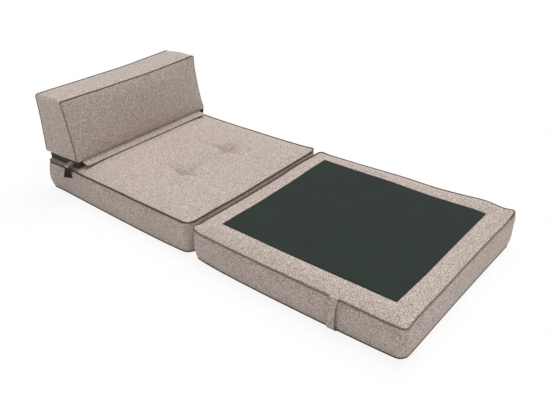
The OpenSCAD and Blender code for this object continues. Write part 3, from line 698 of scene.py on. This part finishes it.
cloth = upholstery("melange_cloth", (138, 123, 114), (189, 174, 164), (235, 221, 212), spread=0.20, bump=0.35)
# The piping cloths are darker than the cover, as painted shade along the seams: a dark one and a softer one
piping_cloth = upholstery("piping_cloth", (58, 50, 44), (84, 74, 66), (116, 104, 94))
soft_piping_cloth = upholstery("soft_piping_cloth", (96, 85, 76), (128, 115, 105), (160, 146, 135))
panel_cloth = plain_cloth("base_panel_cloth", (43, 52, 48), scale=700.0, roughness=0.9, sheen=0.0,
                          vary=0.07, ribs=150.0)
# Dark lining of the board's sleeve, in the tone of the shade under the backrest: a real dark lining, and
# painted shade where it hangs into the gap
lining_cloth = plain_cloth("lining_cloth", (74, 60, 50), scale=600.0)
webbing_cloth = plain_cloth("webbing_cloth", (33, 31, 28), scale=500.0, roughness=0.7, bump=0.6, ribs=260.0)
tape_cloth = plain_cloth("zip_tape_cloth", (104, 94, 84), ribs=400.0)
coil_plastic = plain_cloth("zip_coil_plastic", (86, 78, 70), scale=300.0, roughness=0.4, sheen=0.0, bump=0.1)
thread_yarn = plain_cloth("thread_yarn", (138, 124, 112), scale=1500.0, sheen=0.3)
dark_thread = plain_cloth("dark_thread", (44, 48, 45), scale=1500.0, sheen=0.3)
metal, tree, shader = new_material("slider_metal", roughness=0.35, specular=0.5, metallic=1.0)
grain = noise_node(tree, mapped(tree, (1, 1, 1), "object"), 300.0)
metal_tone = ramp(tree, grain, [(0.35, srgb(150, 148, 144)), (0.65, srgb(185, 183, 178))])
dress(tree, shader, metal_tone, grain, 0.15, 0.0002)


# Blocks

def spread(points, form, bows, lift):
    """The stuffing pushes the sides out between the corners. Each bow is an axis and a side, its push at the
    floor and at the top seam, and its lean to one end. lift raises or lowers the top seam along an X side:
    the side, and its rise at the -Y end and at the +Y end."""
    p = np.array(points, float)
    rise = np.clip(p[:, 2] / form.h, 0, 1)
    uv = p[:, :2] / np.array([form.hw, form.hl])
    for axis, side, low, high, skew in bows:
        u, v = uv[:, axis] * side, np.clip(uv[:, 1 - axis], -1, 1)
        hold = smooth((u - 0.5) / 0.5) * (1 - v * v) ** 0.55 * (1 + skew * v)
        p[:, axis] += side * hold * (low * (1 - rise) + high * rise)
    for side, at_foot, at_head in lift:
        hold = smooth((uv[:, 0] * side - 0.80) / 0.2) * smooth((rise - 0.25) / 0.75)
        p[:, 2] += hold * (at_foot + (at_head - at_foot) * smooth((uv[:, 1] + 1) / 2))
    return p


# Bows, lifts of the top seam, and single soft pushes of each block
SEAT_SHIFTS = ([(0, -1, 0.0150, 0.0, -0.4), (0, 1, 0.0100, 0.0, 0.0)], [],
               [((-0.395, 0.440, 0.055), (0.060, 0.050, 0.070), (-0.005, 0.012, 0.0))])
FOOT_SHIFTS = (
    [(0, -1, 0.0215, 0.0160, 0.25), (0, 1, 0.0140, 0.0170, -0.15), (1, -1, 0.0030, 0.0, 0.0)],
    [(-1, -0.0040, -0.0070), (1, 0.0120, -0.0045)],
    [((0.385, -0.330, 0.135), (0.050, 0.060, 0.050), (0.004, 0.0, 0.0055)),
     ((0.392, -0.442, 0.130), (0.022, 0.022, 0.030), (0.006, -0.003, 0.004)),
     ((-0.392, -0.442, 0.006), (0.018, 0.018, 0.018), (0.002, 0.002, 0.002)),
     ((-0.392, -0.440, 0.045), (0.024, 0.024, 0.030), (-0.004, -0.004, 0.0)),
     ((-0.390, 0.440, 0.128), (0.018, 0.022, 0.020), (0.002, 0.004, 0.004))])
# Each block's form, place, seed of its unevenness and shifts, and the nodes at which it keeps its plain shape
BLOCKS = {"seat": (seat_form, SEAT_Y, 501, SEAT_SHIFTS,
                   ["seat_zip", "strap_left", "strap_right", "backrest_flap"]),
          "foot": (foot_form, FOOT_Y, 601, FOOT_SHIFTS, ["foot_zip"])}
# The roll of cloth under the foot block's seam at the joint: axis, push, height and reach
JOINT_ROLL = ((1, 0.0065, 0.116, 0.018), (2, 0.0035, 0.118, 0.014))
# The upper piping stands higher on the far side, and lies lower and thinner on the near one
FAR_LIFT, NEAR_DROP, NEAR_THIN = 0.0026, 0.0004, 0.0006


def shape_block(body, points, plain=None):
    """A block's full shape in the frame. plain holds the same points without the small unevenness."""
    form, y, seed, (bows, lift, moves), still = BLOCKS[body]
    plain = points if plain is None else plain
    shaped = lean(sculpt(ears(spread(points, form, bows, lift), form, 0.005, 0.026), moves), seed)
    if body == "foot":
        joint_side = np.clip((points[:, 1] - form.hl + 0.0035) / 0.004, 0, 1)
        joint_side *= 1 - np.clip(np.abs(points[:, 0]) / form.hw, 0, 1) ** 8
        for axis, push, z, reach in JOINT_ROLL:
            shaped[:, axis] += push * bell(points[:, 2] - z, reach) * joint_side
    place = np.array([0, y, 0])
    return calm(plain + place, shaped + place, still)


def two_toned(piece, soft):
    """Gives a piping the cloth with the softer painted seam shade where soft is true along it."""
    piece.data.materials.append(soft_piping_cloth)
    piece.data.polygons.foreach_set("material_index", np.repeat(soft, TUBE_SIDES).astype(int))


def block(body, top, nodes):
    form = BLOCKS[body][0]
    verts, faces, uvs = cushion(form, top, BOXING_LOW)
    verts = shape_block(body, verts, cushion(form, top, BOXING_LOW, uneven=0.0)[0])
    obj = add_piece(f"{body}_upholstery", [(verts, faces, uvs)], cloth, body, nodes)
    far_side = smooth(form.loop[:, 0] / form.hw * 1.5 - 0.5)
    near_side = smooth(-form.loop[:, 0] / form.hw * 4 - 3)
    raised = FAR_LIFT * far_side - NEAR_DROP * near_side
    for end, z, node in (("upper", BLOCK_H + PIPING_PROUD - PIPING_R + raised, "top"),
                         ("lower", PIPING_R + CLEAR, "bottom")):
        loop, faces, uvs = tube(form.offset(PIPING_PROUD - PIPING_R), form.normals, z,
                                PIPING_R - NEAR_THIN * near_side)
        piece = add_piece(f"{body}_piping_{end}", [(shape_block(body, loop), faces, uvs)], piping_cloth, body,
                          [f"{body}_piping_{node}"])
        # The foot's upper piping has the softer painted seam shade, except on its far side and at the joint,
        # where it keeps the dark one
        if (body, end) == ("foot", "upper"):
            two_toned(piece, (form.loop[:, 0] < 0.9 * form.hw) & (form.loop[:, 1] < form.hl - 0.02))
    return obj


seat = block("seat", seat_height, ["seat_cover", "seat_wadding", "seat_foam", "tuft_ties"])
# The fold value is painted shade: the cover's colour darkens where the tufts draw the cloth down, in the
# tufts and their folds
spots = np.array([tuple(v.co) for v in seat.data.vertices])
drawn = 1 - tuft_relief(spots[:, 0], spots[:, 1] - SEAT_Y)[0]
fold_shade = np.clip(drawn, 0, 1) ** 1.05 * (spots[:, 2] > 0.1)
seat.data.attributes.new("fold", "FLOAT", "POINT").data.foreach_set("value", fold_shade.astype(np.float32))
block("foot", foot_height, ["foot_cover", "foot_wadding", "foot_foam"])


def back_shape(points, plain=None):
    """The backrest stood up, with an unevenness that fades out at its foot. plain is as for a block."""
    form = back_form
    plain = points if plain is None else plain
    p = ears(points, form, 0.004, 0.020)
    rise = np.clip((p[:, 1] + form.hl) / 0.08, 0, 1)
    drift = np.stack([noise(p + 2.2, 0.2, 701), noise(p + 5.5, 0.2, 702), noise(p + 8.1, 0.2, 703)], 1)
    p = p + drift * 0.0025 * rise[:, None]
    rear = smooth(1 - points[:, 2] / (0.6 * BACK_D))
    top_edge = smooth((points[:, 1] - form.hl + 0.030) / 0.030)
    p[:, 2] -= 0.0035 * rear * smooth((points[:, 1] + form.hl) / 0.05)
    p[:, 1] += (0.0035 * bell(points[:, 2], 0.030) - 0.0005 * rear) * top_edge
    return calm(stand_up(plain), stand_up(p), ["backrest_zip"])


verts, faces, uvs = cushion(back_form, back_front, REBATE, back_rear, rings=25)
plain = cushion(back_form, back_front, REBATE, back_rear, rings=25, uneven=0.0)[0]
back_cushion = add_piece("backrest_upholstery", [(back_shape(verts, plain), faces, uvs)], cloth, "backrest",
                         ["backrest_cover", "backrest_wadding", "backrest_foam"])
top_run = smooth((back_form.loop[:, 1] - back_form.hl + 0.012) / 0.010)
for end, z, proud, thin, node in (("fore", BACK_D + PIPING_PROUD - PIPING_R, 0.0, 0.0005, "front"),
                                  ("aft", PIPING_R - PIPING_PROUD, 0.0016, 0.0, "rear")):
    loop, faces, uvs = tube(back_form.offset(PIPING_PROUD - PIPING_R + proud * top_run), back_form.normals, z,
                            PIPING_R - thin * (1 - top_run))
    piece = add_piece(f"backrest_piping_{end}", [(back_shape(loop), faces, uvs)], piping_cloth, "backrest",
                      [f"backrest_piping_{node}"])
    # The front piping has the softer painted seam shade except along its top; the rear piping keeps the dark
    # one
    two_toned(piece, (top_run < 0.5) & (end == "fore"))


# Sewn-on parts

def curve_through(line, y, count, side=1):
    """count points on a smooth curve at y through the points (x, z) of line, or mirrored at side -1."""
    p = np.array([(side * x, y, z) for x, z in line])
    p = np.vstack([2 * p[0] - p[1], p, 2 * p[-1] - p[-2]])
    out = []
    for s in np.linspace(0, len(p) - 3, count):
        i = min(int(s), len(p) - 4)
        t = s - i
        a, b, c, d = p[i:i + 4]
        square, cube = 2 * a - 5 * b + 4 * c - d, 3 * b - a - 3 * c + d
        out.append(0.5 * (2 * b + (c - a) * t + square * t * t + cube * t ** 3))
    return np.array(out)


def box_middle(node):
    low, high = (np.array(c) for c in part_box(node))
    return low, high, (low + high) / 2


def hemmed_lines(low, high, cells):
    """Positions across the base panel, closer in its hem."""
    inner = np.linspace(low + 0.012, high - 0.012, cells)
    return np.concatenate([[low, low + 0.004], inner, [high - 0.004, high]])


# Base panel: a dark cloth with a turned hem, sewn down along its edge
HEM_W, HEM_T = 0.008, 0.0004
STITCH_IN = 0.006
low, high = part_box("foot_base_panel")
xs, ys = hemmed_lines(low[0], high[0], 66), hemmed_lines(low[1], high[1], 76) - FOOT_Y
gx, gy = np.meshgrid(xs, ys)
edge = np.minimum(np.minimum(gx - xs[0], xs[-1] - gx), np.minimum(gy - ys[0], ys[-1] - gy))
hem = HEM_T * (1 - smooth((edge - HEM_W) / 0.003))
rounded = 0.0009 * (1 - smooth(edge / 0.003))
top_z = high[2] - HEM_T + hem - rounded - 0.0005 * bell(edge - STITCH_IN, 0.0015)
verts = np.concatenate([np.c_[gx.ravel(), gy.ravel(), z.ravel()]
                        for z in (top_z, np.full(gx.shape, low[2]))])
index = np.arange(gx.size).reshape(gx.shape)
quads = grid_quads(index)
rim = rim_of(index)
quads = np.concatenate([quads, quads[:, ::-1] + gx.size, band(rim, rim + gx.size)])
faces, uvs = [tuple(q) for q in quads], list(verts[quads][..., :2])
panel = add_piece("base_panel_cloth", [(shape_block("foot", verts), faces, uvs)], panel_cloth, "foot",
                  ["foot_base_panel"])
x0, x1, y0, y1 = xs[0] + STITCH_IN, xs[-1] - STITCH_IN, ys[0] + STITCH_IN, ys[-1] - STITCH_IN
corners = np.array([[x0, y0], [x1, y0], [x1, y1], [x0, y1]])
runs = []
for a, b in zip(corners, np.roll(corners, -1, 0)):
    line = np.c_[np.linspace(a, b, 90), np.full(90, high[2] - HEM_T)]
    runs += thread(shape_block("foot", line), (0, 0, 1.0))
panel_stitches = add_piece("base_panel_stitches", runs, dark_thread, "foot")

# Handle strap of the foot block, sewn into both of its seams
low, high, middle = box_middle("foot_strap")
line = [(-0.3922, 0.1275), (-0.3928, 0.1318), (-0.3964, 0.1343), (-0.4004, 0.1328), (-0.4022, 0.1280),
        (-0.4040, 0.1210), (-0.4070, 0.1080), (-0.4090, 0.0900), (-0.4096, 0.0660), (-0.4090, 0.0420),
        (-0.4070, 0.0230), (-0.4044, 0.0115), (-0.4026, 0.0062), (-0.4006, 0.0030), (-0.3978, 0.0018)]
path = curve_through(line, middle[1], 46)


def handle_shape(points):
    """The strap follows the side, and its edge away from the joint stands off it between its ends."""
    p = np.array(points, float)
    off = smooth(p[:, 2] / 0.03) * smooth((0.132 - p[:, 2]) / 0.03)
    p[:, 0] -= off * (0.0012 + 0.0048 * smooth((middle[1] + 0.004 - p[:, 1]) / 0.018))
    return shape_block("foot", p - np.array([0, FOOT_Y, 0]))


verts, faces, uvs = strip(path, (0, 1, 0), high[1] - low[1], 0.0028, 12)
handle = add_piece("handle_strap", [(handle_shape(verts), faces, uvs)], cloth, "foot",
                   ["foot_strap"])
runs = []
for side in (-1, 1):
    rows = path[6:-5] + np.array([-0.0015, side * ((high[1] - low[1]) / 2 - 0.0035), 0])
    runs += thread(handle_shape(rows), (-1.0, 0, 0))
handle_stitches = add_piece("handle_strap_stitches", runs, thread_yarn, "foot")

# Cloth hinge between the blocks, flat on the floor
a_low, a_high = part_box("hinge_strip_foot")
b_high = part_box("hinge_strip_seat")[1]
path = np.c_[np.zeros(25), np.linspace(b_high[1], a_low[1], 25), np.full(25, 0.0006)]
mesh = strip(path, (1, 0, 0), a_high[0] - a_low[0], 0.0011, 40)
hinge = add_piece("hinge_strip", [mesh], cloth, None, ["hinge_strip_seat", "hinge_strip_foot"])
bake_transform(hinge)

# Flap below the backrest: doubled cloth with its fold to the front
FLAP_TILT = math.radians(14)
FLAP_R = 0.0027
FLAP_DEPTH = 0.0305
low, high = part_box("backrest_flap")
ahead = np.array([math.cos(FLAP_TILT), math.sin(FLAP_TILT)])
above = np.array([-math.sin(FLAP_TILT), math.cos(FLAP_TILT)])
fore = np.array([low[1] + 0.0035, low[2] + 0.0035])
rear = fore + FLAP_DEPTH * ahead
loop = [rear - above * FLAP_R + (fore - rear) * s for s in np.linspace(0, 1, 12)]
loop += [fore - (ahead * math.sin(t) + above * math.cos(t)) * FLAP_R
         for t in np.linspace(0, math.pi, 9)[1:-1]]
loop += [fore + above * FLAP_R + (rear - fore) * s for s in np.linspace(0, 0.86, 11)]
loop += [(0.6985, 0.1630), (0.7000, 0.1662), (0.7002, 0.1700), (0.7000, 0.1735)]
path = np.array([(0, y, z) for y, z in loop])
verts, faces, uvs = strip(path, (1, 0, 0), high[0] - low[0], 0.0015, 90)


def flap_shape(points):
    """Ripples along the folded front edge, which turns up at its near end."""
    p = np.array(points, float)
    upper = smooth((p[:, 2] - fore[1] - (p[:, 1] - fore[0]) * math.tan(FLAP_TILT)) / 0.002)
    spots = p * np.array([1, 0.4, 0.0])
    p[:, 2] += (0.0009 * noise(spots, 0.05, 811) + 0.0004 * noise(spots, 0.019, 812)) * upper
    p[:, 2] += 0.0012 * smooth((fore[0] + 0.006 - p[:, 1]) / 0.010)
    curl = smooth((-p[:, 0] - (high[0] - 0.014)) / 0.014)
    return p + np.outer(curl, [0.002, 0, 0.0045])


def flap_line(ahead_by, above_by, inset, count):
    """A line along the flap, so far behind and above the middle of its fold."""
    return flap_shape(np.array([(x, fore[0] + ahead_by, fore[1] + above_by)
                                for x in np.linspace(low[0] + inset, high[0] - inset, count)]))


mesh = flap_shape(verts), faces, uvs
flap = add_piece("flap_cloth", [mesh], cloth, None, ["backrest_flap"])
# A welt along the fold's front edge, in the dark piping cloth: painted shade under the edge
mesh = strip(flap_line(-0.0022, -0.0030, 0.001, 90), (0, 0.7, -0.7), 0.0030, 0.0026, 2)
welt = add_piece("flap_welt", [mesh], piping_cloth, "seat")
stitches = thread(flap_line(0.004, 0.0042, 0.01, 80), (0, -0.14, 0.99))
flap_stitches = add_piece("flap_stitches", stitches, thread_yarn, "seat")
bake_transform(flap)

# Board under the backrest in its dark sleeve. The sleeve hangs down to the seat, so its dark cloth also fills
# the gap there as painted shade
SLEEVE_R = 0.0012
SLEEVE_T = 0.0006
base_form = Form(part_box("backrest_base")[1].x - SLEEVE_T, BASE_HALF_D - SLEEVE_T, 0.010, BASE_T, (0, 0, 0),
                 SLEEVE_T, 0.016, seed=901)


def sleeve_shape(points):
    """The sleeve is slack under its board, and hangs down until it lies on the seat: its dark cloth fills the
    gap under the board as painted shade.
    """
    p = np.array(points, float)
    p[:, 1] -= BASE_SET_BACK + BASE_HALF_D
    low_share = 1 - np.clip(p[:, 2] / (0.6 * BASE_T), 0, 1)
    p = lean_back(p)
    seat_z = seat_height(p[:, 0], p[:, 1] - SEAT_Y, 0.0) + 0.0014
    slack = 0.0005 * noise(p, 0.05, 902)
    free_z = p[:, 2] - 2 * CLEAR
    p[:, 2] -= np.clip(free_z - np.minimum(seat_z + slack, free_z), 0, 0.016) * smooth(low_share)
    return p


verts, faces, uvs = cushion(base_form, lambda x, y, uneven: np.full(x.shape, BASE_T), SLEEVE_R,
                            lambda x, y, uneven: np.zeros(x.shape), rings=11, rebate=SLEEVE_R, uneven=0.3)
seam = tube(base_form.offset(0.0002), base_form.normals, 0.0016, SLEEVE_R, 6)
parts = [(sleeve_shape(verts), faces, uvs), (sleeve_shape(seam[0]), *seam[1:])]
add_piece("base_sleeve_cloth", parts, lining_cloth, "backrest", ["backrest_base"])

# Tabs of cloth at the ends of the board, and the webbing that hangs twisted from them. Points are outward
# and upward of the webbing's top, and TAB_SEWN and TAB_BACK outward of the middle of the bed
TWIST = math.radians(24)
TAB_SEWN = [(0.3768, 0.0105), (0.3860, 0.0092), (0.3960, 0.0068)]
TAB_ROUND = [(-0.0035, 0.0048), (0, 0.0041), (0.0030, 0.0028), (0.0041, 0), (0.0028, -0.0030), (0, -0.0041),
             (-0.0040, -0.0040)]
TAB_BACK = [(0.3960, -0.0012), (0.3860, 0.0010), (0.3772, 0.0022)]
WEBBING_LINE = [(-0.0017, -0.0100), (-0.0018, -0.0030), (-0.0013, 0.0010), (0, 0.0019), (0.0014, 0.0010),
                (0.0018, -0.0030), (0.0012, -0.0100), (0.0002, -0.0180), (-0.0002, -0.0280), (0, -0.0380),
                (0.0002, -0.0480)]
for side, s in (("left", -1), ("right", 1)):
    low, high, middle = box_middle(f"strap_{side}")
    t_low, t_high, t_mid = box_middle(f"backrest_tab_{side}")
    wx, wz = abs(middle[0]), high[2] - 0.003
    line = TAB_SEWN + [(wx + x, z) for x, z in TAB_ROUND] + TAB_BACK
    path = curve_through([(x, wz + z) for x, z in line], t_mid[1], 40, s)
    tab_w = t_high[1] - t_low[1]
    verts, faces, uvs = strip(path, (0, s, 0), tab_w, 0.0014, 8)
    verts[:, 1] += 0.0010 * noise(verts, 0.018, 821) * smooth((np.abs(verts[:, 0]) - 0.38) / 0.01)
    tab = add_piece(f"tab_{side}", [(verts, faces, uvs)], cloth, "backrest",
                    [f"backrest_tab_{side}"])
    line = [(wx + x, wz + z) for x, z in WEBBING_LINE] + [(wx - 0.0004, low[2] + 0.0010)]
    path = curve_through(line, middle[1], 60, s)
    drop = np.clip((wz - path[:, 2]) / (wz - low[2]), 0, 1)
    twist = TWIST * smooth((drop - 0.1) / 0.7)
    path[:, 0] += s * 0.0048 * np.sin(twist) / math.sin(TWIST)
    across = np.c_[np.sin(twist), s * np.cos(twist), np.zeros(60)]
    width = 0.034 + 0.011 * np.abs(2 * drop - 1) ** 1.6
    mesh, body = strip(path, across, width, 0.0016, 14), f"strap_{side}"
    webbing = add_piece(f"webbing_{side}", [mesh], webbing_cloth, body, [body])
    webbing_runs = []
    for drop_by, out in ((0.0095, 0.0021), (0.0500, 0.0010)):
        at = np.argmin(np.abs(path[:, 2] - (wz - drop_by)) + 0.1 * (np.arange(60) < 30))
        face = np.cross(across[at], [0, 0, 1.0])
        face *= s * np.sign(face[0])
        ends = [path[at] + across[at] * t + face * out for t in (-0.014, 0.014)]
        webbing_runs += thread(np.linspace(*ends, 8), face, 0.004, 0.003, 0.0004)
    webbing_stitches = add_piece(f"webbing_stitches_{side}", webbing_runs, dark_thread, body)

# Covered buttons in the tufts: each ring's share of the radius, and its height
BUTTON_R, BUTTON_SIDES = 0.006, 16
BUTTON_RINGS = ((1.0, 0.1252), (1.02, 0.1262), (0.92, 0.1272), (0.72, 0.1279), (0.45, 0.1282),
                (0.2, 0.1283))
index = np.arange(len(BUTTON_RINGS) * BUTTON_SIDES).reshape(-1, BUTTON_SIDES)
faces = [(a, d, c, b) for a, b, c, d in ring_faces(index)]
faces += [tuple(index[-1]), tuple(index[0])[::-1]]
turn = np.arange(BUTTON_SIDES) * 2 * math.pi / BUTTON_SIDES
parts = []
for tx, ty in TUFTS:
    verts = np.concatenate([np.c_[tx + BUTTON_R * share * np.cos(turn),
                                  ty + SEAT_Y + BUTTON_R * share * np.sin(turn),
                                  np.full(BUTTON_SIDES, z)] for share, z in BUTTON_RINGS])
    parts.append((verts, faces, [verts[list(f)][:, :2] for f in faces]))
add_piece("tuft_buttons_cloth", parts, cloth, "seat", ["tuft_buttons"])


# Zips: two woven tapes, a nylon coil and two rows of stitches

COIL_PITCH, COIL_R = 0.0024, 0.0017


def zip_pieces(body):
    low, high, middle = box_middle(f"{body}_zip")
    face, x0, x1, half = high[1], low[0], high[0], (high[2] - low[2]) / 2
    tapes, rows = [], []
    for up_down in (-1, 1):
        z = middle[2] + up_down * half * 0.52
        path = np.c_[np.linspace(x0, x1, 60), np.full(60, face - 0.0016), np.full(60, z)]
        tapes.append(strip(path, (0, 0, 1), half * 0.94, 0.0012, 4))
        rows += thread(path + np.array([0, 0.0007, up_down * half * 0.22]), (0, 1.0, 0))
    tape = add_piece(f"{body}_zip_tapes", tapes, tape_cloth, body, [f"{body}_zip"])
    turns = int((x1 - x0) / COIL_PITCH)
    a = np.linspace(0, turns * 2 * math.pi, turns * 6 + 1)
    path = np.c_[x0 + (x1 - x0) * a / a[-1], face - 0.0009 + 0.0006 * np.cos(a),
                 middle[2] + COIL_R * np.sin(a)]
    mesh = strip(path, (0, 1, 0), 0.0009, 0.0008, 1)
    coil = add_piece(f"{body}_zip_coil", [mesh], coil_plastic, body)
    sewn = add_piece(f"{body}_zip_stitches", rows, thread_yarn, body)
    slider = frame["nodes"][f"{body}_zip_slider"]
    slider.data.materials.clear()
    slider.data.materials.append(metal)


for body in ("seat", "foot", "backrest"):
    zip_pieces(body)


# Floor and light

FLOOR_HALF, FLOOR_Z = 12, -0.0006
FLOOR_GLOW = 0.88
SKY_STRENGTH = 0.42
SUN_ENERGY, SUN_ANGLE, SUN_AIM = 2.08, math.radians(40), (-0.38, -0.04, -1.0)


def seen_by_camera(tree, share, lit, seen, output):
    """The camera sees a share of seen over lit. All other rays meet lit alone."""
    ray = add_node(tree, "LightPath").outputs["Is Camera Ray"]
    mix = add_node(tree, "MixShader", {0: math_node(tree, "MULTIPLY", ray, share), 1: lit, 2: seen})
    tree.links.new(mix.outputs[0], tree.nodes[output].inputs["Surface"])


# A white floor that keeps a soft shadow. It glows for the camera only
mat, tree, shader = new_material("white_floor", specular=0.1)
grain = noise_node(tree, mapped(tree, (1, 1, 1), "object"), 3.0)
white = ramp(tree, grain, [(0.0, (0.94, 0.94, 0.94, 1)), (1.0, (0.96, 0.96, 0.96, 1))])
tree.links.new(white, shader.inputs["Base Color"])
seen_by_camera(tree, FLOOR_GLOW, shader.outputs[0], add_node(tree, "Emission").outputs[0], "Material Output")
verts = [(x * FLOOR_HALF, y * FLOOR_HALF, FLOOR_Z) for x, y in ((-1, -1), (1, -1), (1, 1), (-1, 1))]
make_object("floor", verts, [(0, 1, 2, 3)], None, mat, shaded=False)

world = bpy.data.worlds.new("studio")
bpy.context.scene.world = world
world.use_nodes = True
tree = world.node_tree
background = tree.nodes["Background"]
background.inputs["Color"].default_value = (1, 1, 1, 1)
background.inputs["Strength"].default_value = SKY_STRENGTH
seen = add_node(tree, "Background", {"Color": (1, 1, 1, 1), "Strength": 1.0})
seen_by_camera(tree, 1.0, background.outputs[0], seen.outputs[0], "World Output")

sun_data = bpy.data.lights.new("soft_sun", "SUN")
sun_data.energy = SUN_ENERGY
sun_data.angle = SUN_ANGLE
sun = bpy.data.objects.new("soft_sun", sun_data)
sun.rotation_euler = Vector(SUN_AIM).to_track_quat("-Z", "Y").to_euler()
bpy.context.scene.collection.objects.link(sun)
bpy.context.scene.view_settings.view_transform = "Standard"
